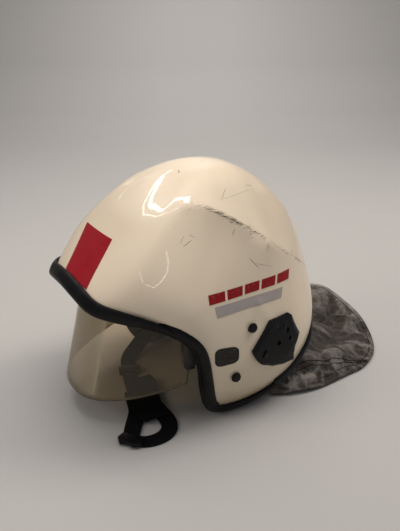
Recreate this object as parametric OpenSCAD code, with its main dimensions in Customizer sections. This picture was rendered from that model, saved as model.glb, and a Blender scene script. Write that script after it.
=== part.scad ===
// Fire helmet with jet-style cheeks, ridged shell, swing-up visor and neck curtain.
// It stands on its cheeks as it lies on a table: +X is the front, +Y the wearer's left.

/* [Shell] */
// Length of the shell from brim to nape
shell_len = 300; // [280:1:320]
// Width of the shell over the ears
shell_width = 244; // [228:1:260]
// Height from the cheek bottoms to the crown
shell_height = 272; // [255:1:290]
// Thickness of the shell wall
wall = 3.2; // [2:0.1:4]

/* [Edge trim] */
// How far the rubber trim reaches up the shell from its edge
trim_reach = 11.5; // [7:0.5:14]
// Thickness of the trim's rubber legs
trim_leg = 5.6; // [3:0.1:7]
// Rubber below the edge of the shell
trim_lip = 6; // [3:0.1:8]
// Gap between the trim and the shell in its slot
trim_fit = 0.35; // [0.2:0.05:0.6]

/* [Visor] */
// Visor sheet thickness
visor_wall = 2.4; // [1.5:0.1:3.5]
// Height of the pivot axis over the table
pivot_z = 114; // [108:1:118]
// Pivot axis behind the middle of the shell
pivot_x = -7; // [-12:1:-2]
// Gap between the shell's half width and the visor's ends
visor_side_gap = 28; // [26:1:36]
// Height of the visor's lower edge over the table
visor_low = 28; // [20:1:40]
// How far the lower edge stands in front of the pivot
visor_reach = 167; // [155:1:170]
// Radius of the pivot pin
pin_r = 4; // [3:0.1:5]
// Running clearance on the pivot pin
pin_fit = 0.06; // [0.04:0.01:0.1]
// Radius of the round screw head on the shell
head_r = 5.8; // [5:0.1:8]

/* [Side plates] */
// Height of the fixing plate over the shell
plate_h = 5; // [3:0.5:8]
// Radius of the lamp socket's bore
socket_r = 2.6; // [1.5:0.1:3.5]
// Depth of the lamp socket's bore
socket_depth = 4; // [3:0.5:4.5]

/* [Interior] */
// Gap between the shell and the liner at the front, where the visor stows
liner_gap_front = 36; // [32:1:38]
// Gap between the shell and the liner at the back
liner_gap_rear = 6; // [5:1:12]
// Thickness of the impact liner
liner_wall = 14; // [10:1:16]
// Half length of the headband
band_a = 88; // [84:1:92]
// Gap between the shell's half width and the headband
band_side_gap = 51; // [49:1:55]
// Height of the headband strip
band_h = 26; // [20:1:32]
// Height of the headband's lower edge over the middle of the shell
band_rise = 11.76; // [8:0.01:16]
// Drop of the front cradle strap below the shell's crown
cradle_drop_front = 55; // [54:1:62]
// Drop of the rear cradle strap below the shell's crown
cradle_drop_rear = 52; // [51:1:60]
// Thickness of the headband strip
band_wall = 2; // [1.2:0.1:3]
// Thickness of the comfort pads
pad_wall = 7; // [4:0.5:9]
// Radius of the size knob
knob_r = 13; // [9:0.5:16]
// Clearance between soft parts and their neighbours
soft_gap = 0.4; // [0.3:0.1:1]

/* [Chin strap] */
// Width of the webbing
strap_w = 20; // [15:1:25]
// Thickness of the webbing
strap_t = 2.2; // [1.4:0.1:3]

/* [Neck curtain] */
// Thickness of the curtain fabric
curtain_wall = 3; // [2:0.1:4]
// Height of the folds in the curtain
fold_h = 11; // [4:0.5:14]

/* [Hidden] */
fine = 48;

function cross_mix(a, b, f) = a * (1 - f) + b * f;
function unit(v) = v / norm(v);
function clamp(x, lo, hi) = min(hi, max(lo, x));
function mirror_y(p) = [p.x, -p.y, p.z];
function scaled(p) = [p.x * shell_len, p.y * shell_width, p.z * shell_height] / 100;

// Rim of the shell, front centre to nape centre, in percent of length, width and height
RIM = [
    [52.7, 0, 58.3], [52.3, 12.3, 57.3], [50.3, 24.6, 54.4], [43.3, 33.6, 52.6],
    [35.0, 39.8, 50.4], [27.3, 43.9, 46.3], [20.7, 45.9, 39.6], [17.3, 45.1, 29.8],
    [15.3, 42.6, 17.3], [12.0, 39.8, 6.6], [4.7, 38.5, 2.3], [-8.7, 39.8, 3.9],
    [-22.0, 40.9, 11.2], [-34.3, 36.1, 21.7], [-42.3, 20.5, 26.1], [-44.5, 0, 27.2]
];
// Pull of the side wall outward between rim and ridge
BELT = [
    [40.2, 0, 70.4], [40.0, 15.6, 70.0], [42.0, 29.0, 67.6], [42.0, 40.0, 66.7],
    [36.7, 47.5, 65.4], [28.7, 53.3, 63.2], [22.0, 56.6, 59.6], [17.3, 58.6, 55.1],
    [12.7, 60.2, 50.7], [8.0, 60.7, 45.6], [1.3, 60.7, 40.4], [-11.3, 59.4, 37.5],
    [-25.3, 54.5, 37.5], [-37.3, 41.6, 38.6], [-44.4, 24.4, 39.7], [-46.8, 0, 39.7]
];
// Ridge crease that parts the side wall from the crown
RIDGE = [
    [29.7, 0, 83.2], [29.1, 11.9, 83.2], [25.4, 20.0, 85.2], [20.7, 23.6, 88.4],
    [15.0, 26.6, 90.4], [8.0, 30.7, 89.3], [1.3, 33.6, 85.3], [-4.0, 35.7, 81.3],
    [-8.0, 36.9, 77.6], [-11.3, 37.7, 74.6], [-15.3, 37.7, 71.7], [-21.3, 36.1, 66.9],
    [-29.3, 32.4, 61.0], [-38.7, 25.4, 54.4], [-45.3, 13.9, 50.4], [-47.7, 0, 48.9]
];
apex = [-0.06 * shell_len, 0, shell_height];
last = len(RIM) - 1;
// Share by which the side wall steepens under the ridge, and how much of that fills it out lower down
wall_tuck = 0.7;
wall_fill = 0.7;
// Stations round the shell and rows up each of its two bands
stations = 96;
rows_low = 9;
rows_top = 6;

function knot(list, k) =
    k < 0 ? mirror_y(list[-k]) : k > last ? mirror_y(list[2 * last - k]) : list[k];
function spline(list, t) =
    let (i = min(floor(t), last - 1), f = t - i)
    let (a = knot(list, i - 1), b = knot(list, i), c = knot(list, i + 1), d = knot(list, i + 2))
    scaled(0.5 * (2 * b + (c - a) * f + (2 * a - 5 * b + 4 * c - d) * f * f
        + (3 * b - 3 * c + d - a) * f * f * f));
function bezier2(a, b, c, f) = a * (1 - f) * (1 - f) + b * 2 * f * (1 - f) + c * f * f;
function bezier3(a, b, c, d, f) =
    a * pow(1 - f, 3) + b * 3 * f * pow(1 - f, 2) + c * 3 * f * f * (1 - f) + d * pow(f, 3);

// How sharply the ridge stands out at t: it fades towards the brim and at the nape
function crisp(t, fade) = clamp((t - 3.2) / 2.4, 0, 1) * clamp((fade - t) / 2.6, 0, 1);
// Outer face of the left half: t runs from brim to nape, v is 0 at the rim,
// 1 at the ridge and 2 at the apex
function side_wall(rim, belt, ridge, sharp, f) =
    let (b = (rim + 2 * belt) / 3, c = (ridge + 2 * belt) / 3, tuck = (ridge - c) * wall_tuck * sharp)
    let (inward = [tuck.x, tuck.y, 0])
    bezier3(rim, b - inward * wall_fill, c + inward, ridge, f);
function skin(t, v) =
    let (g = spline(RIDGE, t), sharp = crisp(t, 14.3))
    v <= 1 ? side_wall(spline(RIM, t), spline(BELT, t), g, crisp(t, 14.8), v) :
    let (back = clamp((t - 5) / 8, 0, 1), rise = apex.z - g.z)
    let (lean = cross_mix(cross_mix(0.33, 0.06, back), 0.36, sharp))
    let (keep = cross_mix(cross_mix(0.42, 0.26, back), 0.6, sharp))
    let (lift = cross_mix(cross_mix(0.62, 0.67, back), 0.47, sharp))
    let (h = [cross_mix(g.x, apex.x, lean), g.y * (1 - lean), g.z + rise * lift])
    let (k = [cross_mix(apex.x, g.x, keep), g.y * keep, apex.z])
    bezier3(g, h, k, apex, v - 1);
function skin_at(t, v) =
    t > last ? mirror_y(skin(2 * last - t, v)) : t < 0 ? mirror_y(skin(-t, v)) : skin(t, v);
step = 0.04;
function along(t, v) = skin_at(t + step, v) - skin_at(t - step, v);
function upward(t, v) =
    v < step ? skin_at(t, v + step) - skin_at(t, v) : skin_at(t, v) - skin_at(t, v - step);
function normal(t, v) = unit(cross(along(t, v), upward(t, v)));
function inset(t, v, depth) = skin_at(t, v) - normal(t, v) * depth;
function station(i, count = stations) = 2 * last * i / count;
// The t and v where the skin of the left side has the given x and z, found in a few steps from a guess
function seek(x, z, guess, n = 8) =
    let (p = skin_at(guess[0], guess[1]))
    let (a = (skin_at(guess[0] + step, guess[1]) - p) / step, b = (skin_at(guess[0], guess[1] + step) - p) / step)
    let (det = a.x * b.z - a.z * b.x, dx = x - p.x, dz = z - p.z)
    n == 0 ? guess : seek(x, z, guess + [dx * b.z - dz * b.x, a.x * dz - a.z * dx] / det, n - 1);
module stand_on(t, v, h) {
    n = normal(t, v);
    translate(inset(t, v, -h)) rotate([0, acos(n.z), atan2(n.y, n.x)]) children();
}
// Share of the side wall that the trim's legs cover at t
function grip(t) = trim_reach * step / norm(skin_at(t, step) - skin_at(t, 0));

// Closed band of quads, split into triangles, between rings of equal length
function band_faces(rings, n) = [
    for (r = [0:rings - 2], i = [0:n - 1])
        let (j = (i + 1) % n)
        each [[r * n + i, r * n + j, (r + 1) * n + j], [r * n + i, (r + 1) * n + j, (r + 1) * n + i]]
];
function flip(faces) = [for (f = faces) [f[2], f[1], f[0]]];

// A solid swept through closed rings of points, with flat ends or closed on itself
module loft(rings, closed = false, inside_out = false) {
    n = len(rings[0]);
    all = closed ? concat(rings, [rings[0]]) : rings;
    count = len(rings);
    body = [
        for (r = [0:len(all) - 2], i = [0:n - 1])
            let (j = (i + 1) % n, s = (r + 1) % count)
            each [[r * n + i, s * n + i, s * n + j], [r * n + i, s * n + j, r * n + j]]
    ];
    ends = closed ? [] : concat(
        [for (i = [1:n - 2]) [0, i, i + 1]],
        [for (i = [1:n - 2]) [(count - 1) * n, (count - 1) * n + i + 1, (count - 1) * n + i]]
    );
    faces = concat(body, ends);
    polyhedron(points = [for (r = rings) each r], faces = inside_out ? flip(faces) : faces);
}

// A dome with a wall: rings of the outer and inner faces that end in two poles
module walled_dome(outer, inner, outer_pole, inner_pole) {
    n = len(outer[0]);
    rows = len(outer);
    base = rows * n;
    pole = 2 * base;
    up = band_faces(rows, n);
    down = flip([for (f = up) [f[0] + base, f[1] + base, f[2] + base]]);
    rim = [
        for (i = [0:n - 1])
            let (j = (i + 1) % n)
            each [[i, base + i, base + j], [i, base + j, j]]
    ];
    caps = [
        for (i = [0:n - 1])
            let (j = (i + 1) % n, top = (rows - 1) * n)
            each [[top + i, top + j, pole], [base + top + j, base + top + i, pole + 1]]
    ];
    polyhedron(
        points = concat([for (r = outer) each r], [for (r = inner) each r], [outer_pole, inner_pole]),
        faces = flip(concat(up, down, rim, caps))
    );
}

// A sheet with a wall from a grid of points on each of its two faces
module walled_sheet(top, bottom) {
    rows = len(top);
    n = len(top[0]);
    base = rows * n;
    face = [
        for (r = [0:rows - 2], i = [0:n - 2])
            let (a = r * n + i, b = a + 1, c = a + n, d = c + 1)
            each [[a, b, d], [a, d, c]]
    ];
    under = flip([for (f = face) [f[0] + base, f[1] + base, f[2] + base]]);
    edge = concat(
        [for (i = [0:n - 2]) i],
        [for (r = [0:rows - 2]) r * n + n - 1],
        [for (i = [n - 1:-1:1]) (rows - 1) * n + i],
        [for (r = [rows - 1:-1:1]) r * n]
    );
    sides = [
        for (k = [0:len(edge) - 1])
            let (a = edge[k], b = edge[(k + 1) % len(edge)])
            each [[b, a, a + base], [b, a + base, b + base]]
    ];
    polyhedron(
        points = concat([for (r = top) each r], [for (r = bottom) each r]),
        faces = concat(face, under, sides)
    );
}

// A flat webbing through hand-picked points: each has a centre and a width direction
module webbing(route, width = strap_w, thick = strap_t) {
    n = len(route);
    rings = [
        for (i = [0:n - 1])
            let (p = route[i][0], side = unit(route[i][1]))
            let (way = unit(route[min(i + 1, n - 1)][0] - route[max(i - 1, 0)][0]))
            let (up = unit(cross(way, side)), s = unit(cross(up, way)) * width / 2)
            let (h = up * thick / 2)
            [p - s - h, p + s - h, p + s + h, p - s + h]
    ];
    loft(rings);
}

module both_sides() {
    children();
    mirror([0, 1, 0]) children();
}

// Places on the shell, given as t and v on its skin
pivot_at = seek(pivot_x, pivot_z, [9.9, 0.55]);
pivot_y = skin_at(pivot_at[0], pivot_at[1]).y;
bolt_x = 0.047 * shell_len;
bolt_z = 0.221 * shell_height;
bolt_at = seek(bolt_x, bolt_z, [9.7, 0.27]);
bolt_y = skin_at(bolt_at[0], bolt_at[1]).y;
visor_half = shell_width / 2 - visor_side_gap;
arm_in = visor_half + 3.4;
arm_wall = 3;
arm_out = arm_in + arm_wall;

// Row j of the shell: the first is the rim, the second the height of the trim's legs
function shell_level(t, j) =
    j == 0 ? 0 : j > rows_low ? 1 + (j - rows_low) / rows_top :
    cross_mix(grip(t), 1, (j - 1) / (rows_low - 1));
function shell_ring(j, depth) = [
    for (i = [0:stations - 1])
        let (t = station(i))
        inset(t, shell_level(t, j), depth)
];
module shell() {
    outer = [for (j = [0:rows_low + rows_top - 1]) shell_ring(j, 0)];
    inner = [for (j = [0:rows_low + rows_top - 1]) shell_ring(j, wall)];
    color("linen")
        difference() {
            walled_dome(outer, inner, apex, apex - [0, 0, wall]);
            both_sides() {
                translate([pivot_x, pivot_y - 30, pivot_z])
                    rotate([-90, 0, 0]) cylinder(h = 60, r = pin_r + pin_fit, $fn = fine);
                translate([bolt_x, bolt_y - 30, bolt_z])
                    rotate([-90, 0, 0]) cylinder(h = 60, r = pin_r + pin_fit, $fn = fine);
            }
        }
}

// Rubber profile that grips the edge: points on the rim, at the legs' tips and in the lip
function trim_ring(t) =
    let (p = skin_at(t, 0), n = normal(t, 0), w = unit(upward(t, 0)), g = grip(t))
    let (slot = wall + trim_fit, far = wall + trim_leg)
    [
        inset(t, 0, -trim_fit), inset(t, g, -trim_fit), inset(t, g * 0.96, -trim_leg * 0.75),
        inset(t, g * 0.6, -trim_leg), p + n * trim_leg - w * trim_lip * 0.3,
        p + n * trim_leg * 0.5 - w * trim_lip * 0.85, p - n * wall / 2 - w * trim_lip,
        p - n * far * 0.85 - w * trim_lip * 0.6, inset(t, g * 0.3, far), inset(t, g, far * 0.9),
        inset(t, g, slot), inset(t, 0, slot) - w * trim_fit, p + n * trim_fit - w * trim_fit
    ];
module edge_trim() {
    color("black")
        loft([for (i = [0:stations - 1]) trim_ring(station(i))], closed = true);
}

// Visor sheet: s runs up from the lower edge, q across from -1 to 1
visor_low_x = pivot_x + visor_reach;
visor_top = [pivot_x + visor_reach * 0.826, pivot_z + 34];
visor_pull = [pivot_x + visor_reach * 0.886, pivot_z - 9];
visor_cols = 36;
visor_rows = 8;
visor_end = 0.955;
function visor_scale(q) = pow(1 - pow(abs(q) * visor_end, 2.4), 1 / 2.4);
function visor_skin(q, s, depth) =
    let (g = bezier2([visor_low_x, visor_low], visor_pull, visor_top, s), k = visor_scale(q))
    let (drop = (1 - k) * cross_mix(34, -45, s))
    [
        pivot_x + k * (g.x - pivot_x - depth),
        q * visor_end * (visor_half - depth),
        g.y + drop
    ];
module visor() {
    q_at = [for (i = [0:visor_cols]) sin(90 * (2 * i / visor_cols - 1))];
    s_at = [for (j = [0:visor_rows]) j / visor_rows];
    color("khaki", 0.35)
        walled_sheet(
            [for (s = s_at) [for (q = q_at) visor_skin(q, s, visor_wall)]],
            [for (s = s_at) [for (q = q_at) visor_skin(q, s, 0)]]
        );
}

// Hinge arm beside the visor's end, bored for the pivot pin
module visor_arm() {
    edge = visor_skin(1, 0.5, 0);
    color("dimgray")
        difference() {
            union() {
                translate([pivot_x, arm_out, pivot_z])
                    rotate([90, 0, 0])
                    linear_extrude(arm_wall)
                    polygon([
                        for (a = [100:20:260]) [17 * cos(a), 17 * sin(a)],
                        [edge.x - pivot_x + 6, -38], [edge.x - pivot_x + 12, -30],
                        [edge.x - pivot_x + 12, 12], [edge.x - pivot_x + 6, 20]
                    ]);
                translate([edge.x + 1, edge.y + soft_gap, edge.z - 22])
                    cube([10, arm_in - edge.y, 40]);
            }
            translate([pivot_x, arm_in - 1, pivot_z])
                rotate([-90, 0, 0]) cylinder(h = arm_wall + 2, r = pin_r + pin_fit, $fn = fine);
        }
}
module visor_arm_left() visor_arm();
module visor_arm_right() mirror([0, 1, 0]) visor_arm();

module pivot_pins() {
    color("black")
        both_sides() {
            translate([pivot_x, arm_in - 3, pivot_z])
                rotate([-90, 0, 0]) cylinder(h = pivot_y - arm_in + 5, r = pin_r, $fn = fine);
            translate([pivot_x, pivot_y + 1.2, pivot_z])
                rotate([-90, 0, 0]) cylinder(h = 2.2, r1 = head_r, r2 = head_r - 1, $fn = fine);
        }
}

module pivot_bushes() {
    color("gray")
        both_sides()
            translate([pivot_x, arm_out + 0.3, pivot_z])
                rotate([-90, 0, 0])
                difference() {
                    cylinder(h = pivot_y - wall - arm_out - 2.8, r = 8, $fn = fine);
                    translate([0, 0, -1]) cylinder(h = 30, r = pin_r + pin_fit, $fn = fine);
                }
}

bolt_in = wall + 16;
module strap_bolts() {
    color("black")
        both_sides()
            translate([bolt_x, bolt_y, bolt_z])
                rotate([-90, 0, 0]) {
                    translate([0, 0, -bolt_in]) cylinder(h = bolt_in + 1.2, r = pin_r, $fn = fine);
                    translate([0, 0, 1.2]) cylinder(h = 2.2, r1 = head_r, r2 = head_r - 1, $fn = fine);
                }
}

// Steel bracket inside the cheek that the bolt holds and the webbing hangs on
anchor_y = bolt_y - wall - 12;
anchor_wall = 2;
module strap_anchor() {
    color("silver")
        translate([bolt_x, anchor_y, bolt_z])
            rotate([90, 0, 0])
            difference() {
                linear_extrude(anchor_wall)
                    polygon([[-13, -24], [13, -24], [13, 4], [7, 10], [-7, 10], [-13, 4]]);
                translate([0, 0, -1]) cylinder(h = anchor_wall + 2, r = pin_r + pin_fit, $fn = fine);
            }
}
module strap_anchor_left() strap_anchor();
module strap_anchor_right() mirror([0, 1, 0]) strap_anchor();

// Faceted plate on the cheek: its corners' x and z, from the top backward and round
CORNERS = [
    [-51, 122], [-56, 118], [-67, 94], [-60, 83], [-67, 56.5], [-19, 64.5], [-13.5, 71], [-5, 87],
    [-28.7, 117.7]
];
PLATE = [for (c = CORNERS) seek(c[0], c[1], [11.2, 0.42])];
plate_mid = seek(-38, 89, [11.2, 0.42]);
plate_steps = 3;
// Share of the plate's reach that the small facet at its middle takes
plate_eye = 0.12;
function plate_edge(f) = [
    for (i = [0:len(PLATE) - 1], j = [0:plate_steps - 1])
        let (a = PLATE[i], b = PLATE[(i + 1) % len(PLATE)])
        cross_mix(plate_mid, cross_mix(a, b, j / plate_steps), f)
];
function lifted(list, h) = [for (p = list) inset(p[0], p[1], -h)];
// The plate's upper face stands this much over its own height at the middle
plate_crown = 1.06;
socket = inset(plate_mid[0], plate_mid[1], -plate_h * plate_crown);
module side_plate() {
    color("black")
        difference() {
            loft([
                for (f = [plate_eye, 0.35, 0.7, 1]) lifted(plate_edge(f), soft_gap),
                lifted(plate_edge(1), plate_h * 0.55), lifted(plate_edge(0.86), plate_h),
                lifted(plate_edge(0.5), plate_h * 1.03),
                lifted(plate_edge(plate_eye), plate_h * plate_crown)
            ], inside_out = true);
            translate([socket.x, socket.y - socket_depth, socket.z])
                rotate([-90, 0, 0]) cylinder(h = 20, r = socket_r, $fn = fine);
        }
}
module side_plate_left() side_plate();
module side_plate_right() mirror([0, 1, 0]) side_plate();

SCREWS = [seek(-47, 104.5, [11.2, 0.42]), seek(-20.5, 81.5, [11.2, 0.42])];
module plate_screws() {
    color("dimgray")
        both_sides()
            for (s = SCREWS)
                stand_on(s[0], s[1], plate_h * plate_crown + 0.2) cylinder(h = 1.4, r = 2.6, $fn = fine);
}

// Impact liner: it touches the shell's crown and leaves the visor room at the front
core = [-0.05 * shell_len, 0, 0.42 * shell_height];
liner_stations = stations / 2;
liner_rows = 4;
liner_seat = wall + trim_fit;
function turn_in(t) = t > last ? 2 * last - t : t;
function liner_low(t) =
    0.64 + 0.22 * clamp((turn_in(t) - 6) / 2.5, 0, 1) + 0.3 * clamp((turn_in(t) - 11) / 2, 0, 1);
function liner_gap(t) =
    cross_mix(liner_gap_front, liner_gap_rear, clamp((turn_in(t) - 6) / 2.5, 0, 1));
function drawn_in(t, v, depth) =
    let (p = skin_at(t, v), d = p - core)
    core + d * (1 - depth / norm(d));
// Rows up the liner: the lower ones are drawn in, the upper ones follow the shell's rows
function liner_point(t, j, extra) =
    j < liner_rows
        ? drawn_in(t, cross_mix(liner_low(t), 1 + 2 / rows_top, j / (liner_rows - 1)), liner_gap(t) + extra)
        : inset(t, 1 + (j - liner_rows + 3) / rows_top, liner_seat + extra);
liner_top = liner_rows + rows_top - 4;
module impact_liner() {
    turns = [for (i = [0:liner_stations - 1]) station(i, liner_stations)];
    outer = [for (j = [0:liner_top]) [for (t = turns) liner_point(t, j, 0)]];
    inner = [for (j = [0:liner_top]) [for (t = turns) liner_point(t, j, liner_wall)]];
    color("dimgray")
        walled_dome(outer, inner, apex - [0, 0, liner_seat], apex - [0, 0, liner_seat + liner_wall]);
}

pad_r = 32;
// Drop of the liner's crown over the pad's radius
pad_drop = 11;
module crown_pad() {
    color("darkslategray")
        translate([apex.x, 0, apex.z - liner_seat - liner_wall - soft_gap])
            rotate_extrude($fn = fine)
            polygon([
                [0, 0], [pad_r * 0.5, -pad_drop * 0.4], [pad_r, -pad_drop], [pad_r - 2, -pad_drop - 3],
                [pad_r * 0.5, -pad_wall - 1.5], [0, -pad_wall]
            ]);
}

band_c = core.x - 2;
band_b = shell_width / 2 - band_side_gap;
band_z = core.z + band_rise;
function oval(a, b, count = fine) = [for (i = [0:count - 1]) [a * cos(360 * i / count), b * sin(360 * i / count)]];
module oval_ring(a, b, thick, h) {
    linear_extrude(h)
        difference() {
            polygon(oval(a, b));
            polygon(oval(a - thick, b - thick));
        }
}
module headband() {
    color("black")
        translate([band_c, 0, band_z]) oval_ring(band_a, band_b, band_wall, band_h);
}

// Tabs that carry the headband on the liner's inner face
HANGER_ANGLES = [45, 135, 225, 315];
hanger_reach = 8.3;
hanger_h = 10;
module headband_hangers() {
    color("dimgray")
        for (a = HANGER_ANGLES)
            translate([band_c + band_a * cos(a), band_b * sin(a), band_z + band_h + 0.3])
                rotate([0, 0, atan2(sin(a) / band_b, cos(a) / band_a)])
                translate([-band_wall, -6, 0]) cube([hanger_reach, 12, hanger_h]);
}

// Pad on the inner face of the headband between two angles
module band_pad(from, to) {
    gap = band_wall + soft_gap;
    steps = 12;
    angles = [for (i = [0:steps]) cross_mix(from, to, i / steps)];
    translate([band_c, 0, band_z + 1])
        linear_extrude(band_h - 2)
        polygon(concat(
            [for (a = angles) [(band_a - gap) * cos(a), (band_b - gap) * sin(a)]],
            [for (i = [steps:-1:0])
                [(band_a - gap - pad_wall) * cos(angles[i]), (band_b - gap - pad_wall) * sin(angles[i])]]
        ));
}
module brow_pad() {
    color("saddlebrown") band_pad(-55, 55);
}
module nape_pad() {
    color("saddlebrown") band_pad(140, 220);
}

// Cradle straps over the head, from band to band
cradle_z = band_z + band_h - 8;
module cradle(offset_x, drop) {
    lift = apex.z - drop - cradle_z;
    half = band_b * sqrt(1 - pow((abs(offset_x) + 8) / band_a, 2)) - band_wall - 1.1;
    count = 14;
    webbing([
        for (i = [0:count])
            let (a = 180 * i / count)
            [[band_c + offset_x, half * cos(a), cradle_z + lift * sin(a)], [1, 0, 0]]
    ], 16, 1.4);
}
module cradle_strap_front() {
    color("black") cradle(29, cradle_drop_front);
}
module cradle_strap_rear() {
    color("black") cradle(-34, cradle_drop_rear);
}

// Size adjuster at the nape
housing_x = band_c - band_a - 9;
module ratchet_housing() {
    color("black")
        difference() {
            translate([housing_x, 0, band_z + band_h / 2])
                rotate([0, 90, 0])
                linear_extrude(8.6)
                polygon([[-12, -26], [12, -26], [15, -20], [15, 20], [12, 26], [-12, 26], [-15, 20], [-15, -20]]);
            translate([housing_x - 1, 0, band_z + band_h / 2])
                rotate([0, 90, 0]) cylinder(h = 7, r = 3 + pin_fit, $fn = fine);
        }
}
module ratchet_knob() {
    color("dimgray")
        translate([housing_x - 7.4, 0, band_z + band_h / 2])
            rotate([0, 90, 0]) {
                difference() {
                    cylinder(h = 7, r = knob_r, $fn = fine);
                    for (i = [0:11])
                        rotate([0, 0, 30 * i])
                        translate([knob_r + 1, 0, -1]) cylinder(h = 9, r = 2, $fn = 16);
                }
                translate([0, 0, 7]) cylinder(h = 6, r = 3, $fn = fine);
            }
}

// Ear and cheek pad against the inside of the cheek, behind the strap's anchor
pad_depth = 30;
function cheek_ring(depth, bow) = [
    for (j = [2:4])
        [for (i = [34:38])
            let (t = station(i))
            inset(t, shell_level(t, j), wall + soft_gap) - [0, depth * (1 - bow * pow((i - 36) / 2, 2)), 0]]
];
module cheek_pad() {
    color("dimgray") walled_sheet(cheek_ring(pad_depth, 0.15), cheek_ring(0, 0));
}
module cheek_pad_left() cheek_pad();
module cheek_pad_right() mirror([0, 1, 0]) cheek_pad();

// Chin strap: hand-picked centres with the direction of the webbing's width
strap_y = anchor_y - anchor_wall - trim_fit - strap_t / 2;
loop_z = trim_fit;
over_loop = loop_z + strap_t * 1.5 + trim_fit;
slide_z = 2;
half_width = shell_width / 2;
RIGHT_ROUTE = [
    [[bolt_x, -strap_y, 56], [1, 0, 0]], [[bolt_x, -strap_y, 34], [1, 0, 0]],
    [[19, 31 - half_width, 26], [1, 0, 0.1]], [[29, 39 - half_width, 18], [1, -0.2, 0.3]],
    [[44, 45 - half_width, 9], [0.75, -0.6, 0.1]],
    [[56, 51 - half_width, 4.2], [0.75, -0.6, 0]], [[64.4, -61, slide_z], [1, -0.31, 0]],
    [[79, -14, slide_z], [1, -0.31, 0]], [[82, -4, over_loop - 0.4], [1, -0.31, 0]], [[85, 9, over_loop], [1, -0.31, 0]],
    [[88, 20, over_loop], [1, -0.2, 0]], [[90, 34, over_loop], [1, -0.1, 0]]
];
LEFT_ROUTE = [
    [[bolt_x, strap_y, 56], [1, 0, 0]], [[bolt_x, strap_y, 34], [1, 0, 0]],
    [[13, half_width - 31, 25], [1, 0, 0]], [[10, half_width - 37, 17], [1, 0, 0]],
    [[5, half_width - 43, 7], [1, -0.4, 0]], [[-2, half_width - 48, 1.8], [0.8, -0.7, 0]],
    [[-11, half_width - 56, 1.5], [0.7, -0.8, 0]], [[-22, half_width - 65, 1.5], [0.7, -0.8, 0]]
];
// Half the loop's width as a share of the webbing's, and its centre line on the table
loop_share = 0.48;
LOOP = [
    [92, 12], [95, 28], [98.6, 45], [110, 62], [121, 78], [127, 90], [122, 100.5], [109, 105.5],
    [93, 103.5], [82, 94.5], [77, 80], [76.4, 62], [77.6, 45], [74.6, 28], [71.5, 12]
];
module strap_webbing_left() {
    color("black") webbing(LEFT_ROUTE);
}
module strap_webbing_right() {
    color("black") webbing(RIGHT_ROUTE);
}
module chin_loop() {
    n = len(LOOP);
    rings = [
        for (i = [0:n - 1])
            let (a = LOOP[(i + n - 1) % n], b = LOOP[(i + 1) % n], p = LOOP[i])
            let (d = unit(b - a), s = [-d.y, d.x] * strap_w * loop_share)
            [
                [p.x - s.x, p.y - s.y, loop_z], [p.x + s.x, p.y + s.y, loop_z],
                [p.x + s.x, p.y + s.y, loop_z + strap_t], [p.x - s.x, p.y - s.y, loop_z + strap_t]
            ]
    ];
    color("black") loft(rings, closed = true);
}
slot_h = strap_t + 0.5;
slider_len = 13;
module strap_slider() {
    color("dimgray")
        translate([71.5, -38, slide_z]) rotate([0, 0, 72.7])
            difference() {
                translate([-slider_len / 2, -strap_w / 2 - 3, -slide_z]) cube([slider_len, strap_w + 6, 6]);
                translate([-slider_len / 2 - 1, -strap_w / 2 - 0.4, -slot_h / 2])
                    cube([slider_len + 2, strap_w + 0.8, slot_h]);
            }
}
module hook_buckle() {
    color("black")
        translate([131, 97, loop_z + strap_t + trim_fit]) rotate([0, 0, -52])
            linear_extrude(5)
            polygon([[-13, -7], [13, -7], [15, 2], [9, 9], [2, 6], [-6, 9], [-14, 4]]);
}

// Neck curtain: from the trim inside the nape down to the table, where it lies in folds
curtain_cols = 40;
curtain_rows = 14;
curtain_t = 11.5625;
hang_in = wall + trim_leg + soft_gap;
drop_share = 0.25;
// Hem from the left cheek round to the right one: its right half stands off the table
HEM = [
    [-52, 94, 0], [-67, 103, 0], [-86, 109, 0], [-108, 112, 0], [-135, 109, 0], [-163, 105, 0],
    [-186, 102, 0], [-206, 93, 0], [-224, 81, 0], [-241, 62, 0], [-257, 36, 1], [-268, 8, 6],
    [-269, -18, 14], [-263, -39, 21], [-255, -56, 27], [-244, -71, 32], [-228, -85, 33],
    [-205, -97, 29], [-175, -106, 20], [-140, -109, 10], [-105, -106, 2], [-75, -98, 0],
    [-55, -90, 0]
];
// Folds of the cloth: a line's two ends in plan, then its height and its width
FOLDS = [
    [[-104, 91], [-150, 88], 1, 9], [[-150, 88], [-204, 62], 1.1, 11],
    [[-185, -26], [-220, -2], -1.2, 13], [[-220, -2], [-204, 44], -0.6, 12],
    [[-185, -62], [-246, -50], 0.7, 15], [[-165, 18], [-225, 28], 0.6, 12],
    [[-76, 100], [-104, 104], 0.8, 6], [[-84, 88], [-104, 96], -0.8, 5],
    [[-150, -88], [-205, -84], 0.8, 11]
];
hem_last = len(HEM) - 1;
function hem(f) =
    let (k = clamp(floor(f * hem_last), 0, hem_last - 1), g = f * hem_last - k)
    let (a = HEM[max(k - 1, 0)], b = HEM[k], c = HEM[k + 1], d = HEM[min(k + 2, hem_last)])
    0.5 * (2 * b + (c - a) * g + (2 * a - 5 * b + 4 * c - d) * g * g
        + (3 * b - 3 * c + d - a) * g * g * g);
function off_line(p, a, b) = norm(p - a - (b - a) * clamp((p - a) * (b - a) / ((b - a) * (b - a)), 0, 1));
function folds(p) = [for (f = FOLDS) f[2] * exp(-pow(off_line(p, f[0], f[1]) / f[3], 2))];
function total(list, k = 0) = k < len(list) ? list[k] + total(list, k + 1) : 0;
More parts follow.
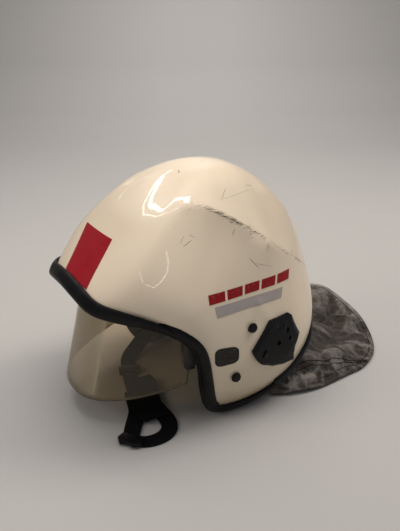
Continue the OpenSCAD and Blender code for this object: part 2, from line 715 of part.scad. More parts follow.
// Upper face of the cloth at column c and row r
function curtain_point(c, r) =
    let (f = c / curtain_cols, g = r / curtain_rows)
    let (t = cross_mix(curtain_t, 2 * last - curtain_t, f), out = hem(f))
    let (top = inset(t, grip(t), hang_in), w = unit(upward(t, 0)))
    let (edge = inset(t, 0, hang_in), hang = edge - w * (trim_lip + 4))
    let (away = clamp((g - drop_share) / (1 - drop_share), 0, 1), floor_z = curtain_wall + 0.2)
    g < drop_share ? (g < drop_share / 2 ? cross_mix(top, edge, g * 8) : cross_mix(edge, hang, g * 8 - 1)) :
    let (p = cross_mix([hang.x, hang.y], [out.x, out.y], away), slack = sin(90 * min(1, away * 4)))
    let (fall = (hang.z - floor_z) * pow(1 - away, 2.2) + out.z * pow(away, 1.5))
    [p.x, p.y, floor_z + max(0, fall + slack * fold_h * total(folds(p)))];
// Direction out of the cloth's face that meets the trim and lies on top outside
function curtain_up(c, r) =
    let (a = curtain_point(c + 0.4, r), b = curtain_point(c - 0.4, r))
    let (d = curtain_point(c, min(r + 0.4, curtain_rows)), e = curtain_point(c, max(r - 0.4, 0)))
    unit(cross(a - b, e - d));
module neck_curtain() {
    over = [for (r = [0:curtain_rows]) [for (c = [0:curtain_cols]) curtain_point(c, r)]];
    under = [
        for (r = [0:curtain_rows])
            [for (c = [0:curtain_cols])
                let (p = over[r][c] - curtain_up(c, r) * curtain_wall)
                [p.x, p.y, max(0.2, p.z)]]
    ];
    color("gray") walled_sheet(over, under);
}
stud_h = 1.6;
stud_r = 4;
stud_gap = 0.6;
STUDS = [12.6, 13.6, 14.5, 15.5, 16.4, 17.4];
module curtain_studs() {
    color("silver")
        for (t = STUDS)
            stand_on(t, grip(t) / 2, -hang_in - curtain_wall - stud_gap - stud_h)
                cylinder(h = stud_h, r = stud_r, $fn = fine);
}

shell();
edge_trim();
visor();
visor_arm_left();
visor_arm_right();
pivot_pins();
pivot_bushes();
strap_bolts();
strap_anchor_left();
strap_anchor_right();
side_plate_left();
side_plate_right();
plate_screws();
impact_liner();
crown_pad();
headband();
headband_hangers();
brow_pad();
nape_pad();
cradle_strap_front();
cradle_strap_rear();
ratchet_housing();
ratchet_knob();
cheek_pad_left();
cheek_pad_right();
strap_webbing_left();
strap_webbing_right();
chin_loop();
strap_slider();
hook_buckle();
neck_curtain();
curtain_studs();
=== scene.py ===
import math
import random
from functools import reduce

import bmesh
import bpy
from mathutils import Matrix, Vector, noise
from mathutils.bvhtree import BVHTree
from mathutils.kdtree import KDTree


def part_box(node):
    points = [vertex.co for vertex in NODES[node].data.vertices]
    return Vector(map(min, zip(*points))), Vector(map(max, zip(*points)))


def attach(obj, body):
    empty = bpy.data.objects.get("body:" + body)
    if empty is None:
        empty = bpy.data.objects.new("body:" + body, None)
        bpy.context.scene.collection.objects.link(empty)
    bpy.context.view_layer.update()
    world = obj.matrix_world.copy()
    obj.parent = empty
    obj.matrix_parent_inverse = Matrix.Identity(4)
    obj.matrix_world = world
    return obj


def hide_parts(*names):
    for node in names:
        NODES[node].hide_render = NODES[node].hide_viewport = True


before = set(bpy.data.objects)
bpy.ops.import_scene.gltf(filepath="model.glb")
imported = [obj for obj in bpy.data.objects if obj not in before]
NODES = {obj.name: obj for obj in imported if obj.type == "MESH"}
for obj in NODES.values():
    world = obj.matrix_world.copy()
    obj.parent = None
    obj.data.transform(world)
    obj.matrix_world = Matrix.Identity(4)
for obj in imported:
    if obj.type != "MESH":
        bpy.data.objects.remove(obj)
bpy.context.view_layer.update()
MM = 0.001
DEG = math.pi / 180

# Camera: where it stood over the table, in metres, and the lens that gives the photo's field of view
CAMERA_AT = Vector((0.3808, 0.6885, 0.4802))
CAMERA_LOOKS_AT = Vector((-0.0087, 0.0, 0.1428))
LENS = 65.16
SENSOR = 36.0


def aim(place, target):
    """The turn that points a camera or a lamp at its target."""
    return (Vector(target) - Vector(place)).to_track_quat("-Z", "Y").to_euler()


def add_object(name, data):
    item = bpy.data.objects.new(name, data)
    bpy.context.scene.collection.objects.link(item)
    return item


def add_camera():
    data = bpy.data.cameras.new("photo_camera")
    data.sensor_fit = "HORIZONTAL"
    data.sensor_width = SENSOR
    data.lens = LENS
    data.clip_end = 20.0
    camera = add_object("photo_camera", data)
    camera.location = CAMERA_AT
    camera.rotation_euler = aim(CAMERA_AT, CAMERA_LOOKS_AT)
    bpy.context.scene.camera = camera


add_camera()


# Small helpers: numbers, selection, copies of CAD nodes and finishing of meshes

def in_metres(x, y, z):
    return Vector((x, y, z)) * MM


def clamp(value):
    return max(0.0, min(1.0, value))


def square_to(along, vector):
    """The part of a vector that is square to a direction."""
    return vector - vector.dot(along) * along


def deselect_all():
    for o in bpy.context.selected_objects:
        o.select_set(False)


def make_active(piece):
    deselect_all()
    piece.select_set(True)
    bpy.context.view_layer.objects.active = piece


def apply_modifiers(piece):
    make_active(piece)
    for modifier in list(piece.modifiers):
        bpy.ops.object.modifier_apply(modifier=modifier.name)


def edit(piece, *steps):
    """Runs mesh operators, each with its settings, on the whole of a piece."""
    make_active(piece)
    bpy.ops.object.mode_set(mode="EDIT")
    for operator, settings in steps:
        bpy.ops.mesh.select_all(action="SELECT")
        operator(**settings)
    bpy.ops.object.mode_set(mode="OBJECT")


def copy_of(node, name):
    """A merged copy of a CAD node's mesh, in quads where that is possible."""
    piece = add_object(name, NODES[node].data.copy())
    piece.data.materials.clear()
    merging = {"threshold": 0.02 * MM}
    quads = {"face_threshold": 30 * DEG, "shape_threshold": 80 * DEG}
    edit(piece, (bpy.ops.mesh.remove_doubles, merging), (bpy.ops.mesh.tris_convert_to_quads, quads))
    for attribute in [a.name for a in piece.data.attributes if a.name.startswith("sharp")]:
        piece.data.attributes.remove(piece.data.attributes[attribute])
    return piece


def new_piece(name, points, faces):
    mesh = bpy.data.meshes.new(name)
    mesh.from_pydata(points, [], faces)
    return add_object(name, mesh)


def opened(piece):
    mesh = bmesh.new()
    mesh.from_mesh(piece.data)
    return mesh


def close_into(piece, mesh):
    mesh.to_mesh(piece.data)
    mesh.free()


def bends(mesh):
    """The edges between two faces, each with its bend in degrees."""
    return [(e, e.calc_face_angle(0) / DEG) for e in mesh.edges if len(e.link_faces) == 2]


def crease_edges(piece, weight_of):
    """Keeps edges crisp through a subdivision, as far as their weight says."""
    mesh = opened(piece)
    layer = mesh.edges.layers.float.get("crease_edge") or mesh.edges.layers.float.new("crease_edge")
    for edge, bend in bends(mesh):
        weight = weight_of(edge, bend)
        if weight:
            edge[layer] = weight
    close_into(piece, mesh)


def crease_sharp_edges(piece, angle, weight=1.0):
    """Creases the edges that bend more than the angle."""
    crease_edges(piece, lambda edge, bend: weight if bend > angle else 0)


def sharp_edge_points(piece, angle, step):
    """Points along the edges that bend more than the angle, no farther apart than the step."""
    mesh = opened(piece)
    points = []
    for edge, bend in bends(mesh):
        if bend > angle:
            a, b = (v.co for v in edge.verts)
            count = max(1, math.ceil(edge.calc_length() / step))
            points += [a.lerp(b, i / count) for i in range(count + 1)]
    mesh.free()
    return points


def subdivide(piece, levels, kind="CATMULL_CLARK"):
    modifier = piece.modifiers.new("rounding", "SUBSURF")
    modifier.subdivision_type = kind
    modifier.levels = levels
    modifier.render_levels = levels
    apply_modifiers(piece)


def bevel(piece, width, angle=40, segments=2):
    """Rounds the edges that bend more than the angle. The width is in millimetres."""
    modifier = piece.modifiers.new("edges", "BEVEL")
    modifier.width = width * MM
    modifier.segments = segments
    modifier.limit_method = "ANGLE"
    modifier.angle_limit = angle * DEG
    apply_modifiers(piece)


def thicken(piece, thickness, offset):
    modifier = piece.modifiers.new("thickness", "SOLIDIFY")
    modifier.thickness = thickness
    modifier.offset = offset
    apply_modifiers(piece)


def write_attribute(piece, name, values):
    piece.data.attributes.new(name, "FLOAT", "POINT").data.foreach_set("value", values)


def finish(piece, angle, material, body="helmet", replaces=()):
    """Shades a piece smooth up to an angle, gives it its material and says what it rides and replaces."""
    make_active(piece)
    bpy.ops.object.shade_smooth_by_angle(angle=angle * DEG)
    piece.data.materials.clear()
    piece.data.materials.append(material)
    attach(piece, body)
    if replaces:
        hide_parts(*replaces)


def nearest_tree(points):
    tree = KDTree(len(points))
    for i, point in enumerate(points):
        tree.insert(point, i)
    tree.balance()
    return tree


# Node tools for the materials

class Finish:
    """A material under construction: nodes are added by name and joined as they are made."""

    def __init__(self, name, **constants):
        self.material = bpy.data.materials.new(name)
        self.material.use_nodes = True
        self.tree = self.material.node_tree
        self.shader = self.tree.nodes["Principled BSDF"]
        for socket, value in constants.items():
            self.shader.inputs[socket.replace("_", " ")].default_value = value
        self.place = self.add("ShaderNodeTexCoord").outputs["Object"]

    def add(self, kind, **settings):
        node = self.tree.nodes.new(kind)
        for key, value in settings.items():
            setattr(node, key, value)
        return node

    def put(self, value, socket):
        """Joins another node's socket to this one, or sets a constant or a colour on it."""
        if isinstance(value, bpy.types.NodeSocket):
            self.tree.links.new(value, socket)
        elif socket.type == "RGBA" and len(value) == 3:
            socket.default_value = (*value, 1)
        else:
            socket.default_value = value

    def feed(self, node, **inputs):
        for key, value in inputs.items():
            self.put(value, node.inputs[key.replace("_", " ")])
        return node

    def noise(self, scale, detail=3.0, rough=0.5, stretch=None, place=None, warp=0.0):
        place = place or self.place
        if stretch:
            place = self.feed(self.add("ShaderNodeMapping"), Vector=place, Scale=stretch).outputs[0]
        node = self.add("ShaderNodeTexNoise")
        self.feed(node, Vector=place, Scale=scale, Detail=detail, Roughness=rough, Distortion=warp)
        return node.outputs["Fac"]

    def ramp(self, value, *stops):
        node = self.add("ShaderNodeValToRGB")
        node.color_ramp.elements[0].position = stops[0][0]
        node.color_ramp.elements[1].position = stops[-1][0]
        for position, _ in stops[1:-1]:
            node.color_ramp.elements.new(position)
        for element, (_, tone) in zip(node.color_ramp.elements, stops):
            element.color = (*tone, 1) if isinstance(tone, tuple) else (tone, tone, tone, 1)
        self.put(value, node.inputs["Fac"])
        return node.outputs["Color"]

    def fill(self, node, *values):
        """Feeds a node's sockets in their order, and gives its first output."""
        for socket, value in zip([s for s in node.inputs if s.enabled], values):
            self.put(value, socket)
        return next(s for s in node.outputs if s.enabled)

    def math(self, operation, *values):
        return self.fill(self.add("ShaderNodeMath", operation=operation), *values)

    def vector(self, operation, *values):
        return self.fill(self.add("ShaderNodeVectorMath", operation=operation), *values)

    def times(self, *factors):
        return reduce(lambda a, b: self.math("MULTIPLY", a, b), factors)

    def plus(self, *terms):
        return reduce(lambda a, b: self.math("ADD", a, b), terms)

    def mix(self, amount, a, b):
        return self.fill(self.add("ShaderNodeMix", data_type="RGBA"), amount, a, b)

    def mix_shader(self, amount, a, b):
        return self.fill(self.add("ShaderNodeMixShader"), amount, a, b)

    def matt(self, scale, detail, low, high):
        """A roughness that wanders between two values."""
        return self.ramp(self.noise(scale, detail), (0.3, low), (0.7, high))

    def cells(self, scale, place=None, feature="F1"):
        node = self.add("ShaderNodeTexVoronoi", feature=feature)
        return self.feed(node, Vector=place or self.place, Scale=scale).outputs["Distance"]

    def attribute(self, name):
        return self.add("ShaderNodeAttribute", attribute_name=name).outputs["Fac"]

    def bump(self, height, depth, strength=1.0):
        node = self.feed(self.add("ShaderNodeBump"), Height=height, Distance=depth, Strength=strength)
        self.put(node.outputs[0], self.shader.inputs["Normal"])

    def set(self, **inputs):
        self.feed(self.shader, **inputs)
        return self.material


def shell_paint():
    """Cream gel coat: glossy, yellowed low down, dirty specks, and dark scuffs near the ridge."""
    f = Finish("shell_paint", Roughness=0.32, Coat_Weight=0.9, Coat_Roughness=0.03, Specular_IOR_Level=0.4)
    place = f.feed(f.add("ShaderNodeSeparateXYZ"), Vector=f.place).outputs
    low = f.ramp(place["Z"], (0.01, 1.0), (0.12, 0.0))
    cream = f.mix(f.noise(9, 4), (0.68, 0.565, 0.425), (0.76, 0.65, 0.51))
    aged = f.mix(f.times(low, f.noise(30, 4)), cream, (0.62, 0.50, 0.28))
    rear = f.ramp(place["X"], (-0.05, 1.0), (0.0, 0.0))
    edge = f.ramp(f.attribute("rim"), (0.35, 0.0), (0.85, 1.0))
    grime = f.ramp(f.noise(38, 5, 0.65), (0.42, 0.0), (0.6, 1.0))
    aged = f.mix(f.times(edge, grime, rear, 0.65), aged, (0.30, 0.20, 0.075))
    specks = f.ramp(f.noise(260, 2, 0.7), (0.70, 0.0), (0.76, 1.0))
    patchy = f.ramp(f.noise(14, 3), (0.50, 0.0), (0.66, 1.0))
    speckled = f.mix(f.times(specks, patchy, 0.5), aged, (0.19, 0.14, 0.10))
    streaks = f.noise(22, 5, 0.65, stretch=(1, 4.5, 1.5), warp=0.6)
    scratch = f.ramp(streaks, (0.488, 0.0), (0.5, 1.0), (0.512, 0.0))
    ridge = f.ramp(f.attribute("ridge"), (0.62, 0.0), (0.98, 0.8))
    worn = f.times(scratch, ridge, f.ramp(f.noise(17, 3), (0.48, 0.0), (0.58, 1.0)))
    grain = f.ramp(f.noise(120, 4, 0.7, stretch=(0.4, 1, 1)), (0.56, 0.0), (0.64, 1.0))
    rub = f.times(grain, ridge, f.ramp(f.noise(11, 2), (0.5, 0.0), (0.62, 1.0)), 0.35)
    marks = f.math("MAXIMUM", worn, rub)
    colour = f.mix(marks, speckled, (0.10, 0.075, 0.055))
    f.bump(f.plus(f.noise(7, 2), f.times(marks, -0.3)), 0.0006, 0.35)
    return f.set(Base_Color=colour)


def trim_rubber():
    f = Finish("trim_rubber", Specular_IOR_Level=0.18)
    dust = f.ramp(f.noise(60, 4), (0.45, 0.0), (0.75, 1.0))
    colour = f.mix(dust, (0.0035, 0.0032, 0.0037), (0.0080, 0.0072, 0.0074))
    f.bump(f.noise(900, 2), 0.0001, 0.4)
    return f.set(Base_Color=colour, Roughness=f.matt(40, 3, 0.38, 0.52))


def visor_sheet():
    """Brown-tinted clear sheet with fine haze and scratches: each face lets part of the light through."""
    f = Finish("visor_sheet", Specular_IOR_Level=0.3, Roughness=0.4)
    haze = f.ramp(f.noise(18, 4), (0.35, 0.0), (0.7, 1.0))
    scratch = f.ramp(f.noise(70, 3, stretch=(1, 1, 6)), (0.49, 0.0), (0.5, 1.0), (0.51, 0.0))
    edge = f.ramp(f.attribute("edge"), (0.0, 0.0), (0.8, 1.0))
    colour = f.mix(edge, (0.40, 0.31, 0.18), (0.035, 0.026, 0.018))
    clouded = f.plus(f.times(haze, 0.02), f.times(scratch, 0.03))
    solid = f.plus(0.025, clouded, f.times(edge, 0.6))
    f.bump(scratch, 0.00004, 0.2)
    f.set(Base_Color=colour)
    tint = f.feed(f.add("ShaderNodeBsdfTransparent"), Color=(0.85, 0.785, 0.675)).outputs[0]
    gloss = f.feed(f.add("ShaderNodeBsdfAnisotropic"), Color=(0.9, 0.9, 0.9), Roughness=0.16).outputs[0]
    sheet = f.mix_shader(solid, tint, f.shader.outputs[0])
    mirror = f.times(f.feed(f.add("ShaderNodeFresnel"), IOR=1.45).outputs[0], 0.7)
    f.feed(f.tree.nodes["Material Output"], Surface=f.mix_shader(mirror, sheet, gloss))
    return f.material


def moulded(name, dark, light, roughness=0.5, grain=700, depth=0.00008, gloss=0.4):
    """Moulded plastic: fine grain, slight handling shine and dust."""
    f = Finish(name, Specular_IOR_Level=gloss)
    colour = f.mix(f.noise(35, 4), dark, light)
    f.bump(f.noise(grain, 3), depth, 0.5)
    return f.set(Base_Color=colour, Roughness=f.matt(28, 3, roughness - 0.07, roughness + 0.08))


def metal(name, tone, roughness=0.35, coated=0.0):
    """Turned steel, or steel under black paint with worn spots."""
    f = Finish(name, Metallic=1.0 - coated, Specular_IOR_Level=0.5 - 0.32 * coated)
    rub = f.ramp(f.noise(220, 4), (0.55, 0.0), (0.72, 1.0))
    colour = f.mix(rub, tone, tuple(min(1, c * 1.5 + 0.02 - 0.015 * coated) for c in tone))
    f.bump(f.noise(600, 2, stretch=(1, 8, 1)), 0.00005, 0.4)
    return f.set(Base_Color=colour, Roughness=f.matt(90, 3, roughness - 0.08, roughness + 0.12))


def foam(name, dark, light):
    f = Finish(name, Specular_IOR_Level=0.2)
    cells = f.cells(420)
    f.bump(cells, 0.0004, 0.6)
    return f.set(Base_Color=f.mix(cells, light, dark), Roughness=f.matt(30, 2, 0.8, 0.92))


def woven(name, dark, light, threads=1100.0, depth=0.00025, sheen=0.3):
    """Woven webbing or lining: ribs along X and Y in Object coordinates, frayed by noise."""
    f = Finish(name, Specular_IOR_Level=0.2, Sheen_Weight=sheen, Sheen_Roughness=0.5)
    waves = [
        f.feed(f.add("ShaderNodeTexWave", bands_direction=axis, wave_profile="SIN"),
               Vector=f.place, Scale=threads / 20, Distortion=0.6, Detail=2.0).outputs["Fac"]
        for axis in ("X", "Y", "Z")
    ]
    height = f.plus(f.times(waves[0], waves[1]), f.times(waves[2], 0.5))
    fuzz = f.noise(900, 3)
    f.bump(f.plus(height, f.times(fuzz, 0.5)), depth, 0.6)
    colour = f.mix(f.times(height, fuzz), dark, light)
    return f.set(Base_Color=colour, Roughness=f.ramp(fuzz, (0.3, 0.75), (0.7, 0.95)))


def leather(name, dark, light):
    f = Finish(name, Specular_IOR_Level=0.35)
    grain = f.cells(620)
    f.bump(f.plus(grain, f.noise(80, 4)), 0.0003, 0.5)
    colour = f.mix(f.noise(25, 4), dark, light)
    return f.set(Base_Color=colour, Roughness=f.ramp(grain, (0.0, 0.45), (0.8, 0.68)))


def curtain_cloth():
    """Coated cloth gone dark, brown where the coat is stained, silvery on the crests and crinkle lines:
    partly rubbed coat, partly painted highlight.
    """
    f = Finish("curtain_cloth", Specular_IOR_Level=0.35)
    blotch = f.noise(21, 6, 0.62, warp=0.8)
    stain = f.ramp(f.noise(15, 5, 0.6, warp=1.2), (0.48, 0.0), (0.64, 1.0))
    sway = f.feed(f.add("ShaderNodeTexNoise"), Vector=f.place, Scale=38.0, Detail=5.0).outputs["Color"]
    bent = f.vector("MULTIPLY_ADD", sway, (0.016, 0.016, 0.016), f.place)
    borders = [f.cells(scale, bent, "DISTANCE_TO_EDGE") for scale in (44, 120)]
    creases = [f.ramp(border, (0.0, 1.0), (0.16, 0.0)) for border in borders]
    # Crests and crinkle lines are painted lighter: partly rubbed coat, partly a painted highlight standing in
    # for glints, since the lamps stay out of the gloss.
    crest = f.ramp(f.attribute("crest"), (0.48, 0.0), (0.95, 1.0))
    crinkle_highlights = f.plus(f.times(creases[0], 0.45), f.times(creases[1], 0.22))
    handled_and_lit = f.ramp(f.attribute("wear"), (0.1, 0.2), (0.8, 1.0))
    mottle = f.ramp(f.noise(75, 7, 0.7), (0.35, 0.35), (0.65, 1.0))
    rubbed_and_highlit = f.times(f.plus(f.times(crest, 1.3), crinkle_highlights), handled_and_lit, mottle)
    base = f.mix(f.ramp(blotch, (0.35, 0.0), (0.65, 1.0)), (0.015, 0.012, 0.009), (0.042, 0.036, 0.030))
    brown = f.mix(f.times(stain, 0.75), base, (0.018, 0.010, 0.007))
    colour = f.mix(f.math("MINIMUM", rubbed_and_highlit, 1.0), brown, (0.29, 0.26, 0.235))
    crinkle = f.plus(f.noise(40, 8, 0.62, warp=0.9), f.times(creases[0], 0.15))
    f.bump(f.plus(crinkle, f.times(f.noise(1400, 2), 0.04)), 0.009, 0.9)
    shine = f.ramp(blotch, (0.3, 0.36), (0.7, 0.55))
    return f.set(Base_Color=colour, Roughness=shine, Metallic=f.times(rubbed_and_highlit, 0.25))


def film(name, tone, wear=0.0, roughness=0.35):
    """Stuck-on film: a flat colour with faint mottling, and worn-through flecks where asked."""
    f = Finish(name, Coat_Weight=0.12, Coat_Roughness=0.15, Specular_IOR_Level=0.2)
    colour = f.mix(f.noise(60, 4), tone, tuple(c * 0.82 for c in tone))
    flecks = f.ramp(f.noise(330, 4, 0.7), (0.66 - wear * 0.16, 0.0), (0.70 - wear * 0.16, 1.0))
    colour = f.mix(f.times(flecks, 0.7), colour, tuple(c * 0.35 + 0.1 for c in tone))
    f.bump(f.noise(130, 3), 0.0001, 0.3)
    return f.set(Base_Color=colour, Roughness=f.matt(50, 2, roughness - 0.08, roughness + 0.1))


def studio_paper(name, tone, ahead, aside):
    """Matt paper, a little darker at the far wall's sides, where a light tent's corners get less light."""
    f = Finish(name, Specular_IOR_Level=0.2)
    runs = [f.vector("DOT_PRODUCT", f.place, way) for way in (ahead, aside)]
    back = f.ramp(f.times(runs[0], -0.5), (0.3, 0.0), (0.9, 1.0))
    wide = f.ramp(f.math("ABSOLUTE", runs[1]), (0.1, 0.0), (0.75, 0.45))
    pale = f.mix(f.noise(3, 2), tone, tuple(c * 0.97 for c in tone))
    colour = f.mix(f.times(back, wide), pale, tuple(c * 0.3 for c in tone))
    return f.set(Base_Color=colour, Roughness=f.matt(6, 2, 0.6, 0.7))


PAINT = shell_paint()
RUBBER = trim_rubber()
VISOR = visor_sheet()
ARM = moulded("arm_plastic", (0.020, 0.020, 0.021), (0.035, 0.034, 0.034), 0.5)
SCREW = metal("screw_black", (0.0055, 0.0045, 0.0042), 0.42, coated=1.0)
BUSH = moulded("bush_plastic", (0.25, 0.25, 0.25), (0.36, 0.35, 0.34), 0.5)
ANCHOR = metal("anchor_steel", (0.50, 0.50, 0.50), 0.32)
PLATE = moulded("plate_plastic", (0.0045, 0.0045, 0.0052), (0.0080, 0.0080, 0.0090), 0.40, gloss=0.2)
PLATE_SCREW = metal("screw_steel", (0.009, 0.009, 0.010), 0.45, coated=0.7)
LINER = foam("liner_foam", (0.015, 0.015, 0.016), (0.045, 0.045, 0.046))
PAD = woven("pad_cloth", (0.010, 0.010, 0.012), (0.045, 0.045, 0.050), 1500)
BAND = moulded("band_plastic", (0.012, 0.012, 0.012), (0.026, 0.026, 0.026), 0.46)
BROW = leather("brow_leather", (0.045, 0.026, 0.016), (0.10, 0.062, 0.040))
CRADLE = woven("cradle_webbing", (0.008, 0.008, 0.008), (0.040, 0.040, 0.040), 1300)
KNOB = moulded("knob_plastic", (0.030, 0.030, 0.031), (0.055, 0.054, 0.053), 0.5)
WEBBING = woven("strap_webbing", (0.0016, 0.0016, 0.0018), (0.007, 0.007, 0.0075), 1250, sheen=0.0)
BUCKLE = moulded("buckle_plastic", (0.0025, 0.0025, 0.0028), (0.005, 0.005, 0.0055), 0.42, gloss=0.2)
CURTAIN = curtain_cloth()
STUD = metal("stud_steel", (0.48, 0.48, 0.47), 0.3)


# The studio: a pale floor that sweeps up behind, soft lamps and a pale room

FLOOR_TONE = (0.42, 0.41, 0.40)
FLOOR_HALF_WIDTH = 3.5
FLOOR_SWEEP = [(3.0, 0.0), (-1.2, 0.0), (-1.45, 0.04), (-1.65, 0.16), (-1.75, 0.4), (-1.8, 3.0)]
AHEAD = Vector((0.4529, 0.8006, 0)).normalized()
ASIDE = Vector((-AHEAD.y, AHEAD.x, 0))
WARM = (1.0, 0.93, 0.85)
LAMPS = [
    ("top_soft", (-0.12, -0.1, 1.5), (0, 0, 0.1), (1.5, 1.5), 15.5, (1.0, 0.95, 0.90)),
    ("rear_soft", (-1.0, 0.2, 1.35), (-0.02, 0, 0.17), (0.7, 0.7), 11, WARM),
    ("front_soft", (1.35, -0.15, 0.85), (0.1, 0.02, 0.15), (0.6, 0.6), 5.2, WARM),
    ("wall_wash", (-0.55, -1.0, 1.5), (-0.85, -1.5, 1.0), (0.6, 0.3), 11, (1.0, 0.96, 0.92)),
]
ROOM_TONE = (0.94, 0.96, 1.0, 1)
ROOM_STRENGTH = 0.235


def add_floor():
    points = [AHEAD * reach + ASIDE * side + Vector((0, 0, height))
              for reach, height in FLOOR_SWEEP for side in (-FLOOR_HALF_WIDTH, FLOOR_HALF_WIDTH)]
    faces = [(2 * i, 2 * i + 1, 2 * i + 3, 2 * i + 2) for i in range(len(FLOOR_SWEEP) - 1)]
    floor = new_piece("floor", points, faces)
    make_active(floor)
    bpy.ops.object.shade_smooth()
    floor.data.materials.append(studio_paper("floor_paper", FLOOR_TONE, AHEAD, ASIDE))


def new_lamp(name, size, power, tone):
    data = bpy.data.lights.new(name, "AREA")
    data.shape = "RECTANGLE"
    data.size, data.size_y = size
    data.energy = power
    data.color = tone
    return add_object(name, data)


def add_lamp(name, place, target, size, power, tone):
    """A soft lamp that faces its target and stays out of the gloss."""
    lamp = new_lamp(name, size, power, tone)
    lamp.location = place
    lamp.rotation_euler = aim(place, target)
    lamp.visible_glossy = False


def add_strip(name, start, end, power, width):
    """A thin lamp between two points over the helmet: it shows as a bright line in the gloss."""
    start, end = Vector(start), Vector(end)
    lamp = new_lamp(name, ((end - start).length, width), power, WARM)
    middle = (start + end) / 2
    along = (end - start).normalized()
    away = square_to(along, middle - STRIPS_FACE).normalized()
    turn = Matrix((along, away.cross(along), away)).transposed()
    lamp.matrix_world = Matrix.Translation(middle) @ turn.to_4x4()


# Runs of thin lamps over the helmet, in plan: bright lines of a lit ceiling, seen in the gloss
RUNS = {
    "outer_line": (0.012, 0.30, [(-0.12, -0.69), (0.09, -0.63), (0.25, -0.55), (0.30, -0.45), (0.27, -0.32),
                                 (0.19, -0.05), (0.13, 0.03), (0.04, 0.04), (-0.03, -0.04)]),
    "inner_line": (0.026, 0.75, [(-0.01, -0.65), (0.10, -0.57), (0.20, -0.50), (0.24, -0.42), (0.20, -0.32),
                                 (0.11, -0.21), (0.05, -0.10), (-0.03, -0.04)]),
    "front_line": (0.014, 0.28, [(0.13, 0.44), (0.12, 0.53), (0.16, 0.60), (0.29, 0.69), (0.51, 0.80),
                                 (0.64, 0.62), (0.59, 0.14)]),
    "far_line": (0.02, 0.06, [(0.24, -1.26), (0.16, -1.34), (0.03, -1.40), (0.0, -1.17), (-0.01, -0.87)]),
}
STRIP_HEIGHT = 0.65
STRIPS_FACE = Vector((0, 0, 0.15))


def add_lamps():
    for lamp in LAMPS:
        add_lamp(*lamp)
    for name, (width, power, places) in RUNS.items():
        pairs = list(zip(places, places[1:]))
        total = sum(math.dist(a, b) for a, b in pairs)
        for i, (a, b) in enumerate(pairs):
            share = math.dist(a, b) / total
            add_strip(f"{name}_{i}", (*a, STRIP_HEIGHT), (*b, STRIP_HEIGHT), power * share, width)


def fill_room():
    """Even light from all around, and the plain view transform."""
    world = bpy.data.worlds.new("room")
    world.use_nodes = True
    air = world.node_tree.nodes["Background"]
    air.inputs["Color"].default_value = ROOM_TONE
    air.inputs["Strength"].default_value = ROOM_STRENGTH
    bpy.context.scene.world = world
    bpy.context.scene.view_settings.view_transform = "Standard"


add_floor()
add_lamps()
fill_room()


# The shell: the CAD form, rounded, with its ridge kept firm

BORES = [(-0.007, 0.114), (0.0141, 0.0601)]
BORE_R = 4.2 * MM
SIDES_BEGIN = 80 * MM
RIDGE_BEND = (11, 70)
FIRM_BEND = 18
RIDGE_REACH = 34 * MM
RIM_REACH = 30 * MM


def close_bores(piece):
    """Takes out the walls of the four bores, whose screw heads cover them, so that the skin stays even."""
    mesh = opened(piece)
    walls = [v for v in mesh.verts for x, z in BORES
             if math.hypot(v.co.x - x, v.co.z - z) < BORE_R and abs(v.co.y) > SIDES_BEGIN]
    bmesh.ops.delete(mesh, geom=walls, context="VERTS")
    bmesh.ops.holes_fill(mesh, edges=[e for e in mesh.edges if e.is_boundary], sides=0)
    bmesh.ops.recalc_face_normals(mesh, faces=mesh.faces)
    close_into(piece, mesh)


def is_ridge(edge):
    """The ridge runs over each side from above the ear to the nape; its edges lie lengthwise."""
    a, b = (v.co for v in edge.verts)
    middle = (a + b) / 2
    over_the_sides = middle.x < 50 * MM and middle.z > 128 * MM and abs(middle.y) > 20 * MM
    return over_the_sides and abs(a.x - b.x) > 3.5 * MM


def ridge_weight(edge, bend):
    """How firmly an edge of the ridge is creased; 0 for the other edges."""
    return min(1.0, bend / FIRM_BEND) if RIDGE_BEND[0] < bend < RIDGE_BEND[1] and is_ridge(edge) else 0


def ridge_points(piece):
    mesh = opened(piece)
    points = [(e.verts[0].co + e.verts[1].co) / 2 for e, bend in bends(mesh) if ridge_weight(e, bend)]
    mesh.free()
    return points


def mark_nearness(piece, name, points, reach):
    """A point attribute that is 1 at the given points and fades to 0 at the reach."""
    tree = nearest_tree(points)
    write_attribute(piece, name, [clamp(1 - tree.find(v.co)[2] / reach) for v in piece.data.vertices])


SIDE_RIB = [(-18.2, 109.9, 137.8), (-26.7, 111.6, 124.4), (-35.3, 113.3, 111.9)]
RIB_RISE = 1.3 * MM
RIB_REACH = 7 * MM


def emboss(piece, line):
    """Raises a soft rib on the skin along a line."""
    tree = nearest_tree([a.lerp(b, k / 10) for a, b in zip(line, line[1:]) for k in range(11)])
    for vertex in piece.data.vertices:
        near = 1 - tree.find(vertex.co)[2] / RIB_REACH
        if near > 0:
            vertex.co += vertex.normal * RIB_RISE * near * near * (3 - 2 * near)


def make_shell():
    piece = copy_of("shell", "shell_skin")
    close_bores(piece)
    ridge = ridge_points(piece)
    crease_sharp_edges(piece, RIDGE_BEND[1])
    crease_edges(piece, ridge_weight)
    subdivide(piece, 2)
    mark_nearness(piece, "ridge", ridge, RIDGE_REACH)
    mark_nearness(piece, "rim", sharp_edge_points(piece, 50, 2 * MM), RIM_REACH)
    for hand in (1, -1):
        emboss(piece, [in_metres(x, hand * y, z) for x, y, z in SIDE_RIB])
    finish(piece, 50, PAINT, replaces=["shell"])
    return piece


SHELL = make_shell()


def on_skin(point):
    """The nearest place on the shell, and its outward direction."""
    _, place, outward, _ = SHELL.closest_point_on_mesh(point)
    return place, outward


def make_edge_trim():
    piece = copy_of("edge_trim", "trim_profile")
    subdivide(piece, 1)
    finish(piece, 60, RUBBER, replaces=["edge_trim"])


make_edge_trim()


# The trim's outer leg behind the brim: how far it reaches over the skin at a given x, in millimetres
LEG_REACH = [(-200, 11.5), (-100, 13.5), (-60, 15.5), (0, 17), (18, 15.5), (36, 11.5), (48, 14), (60, 14.5),
             (82, 13), (104, 9)]
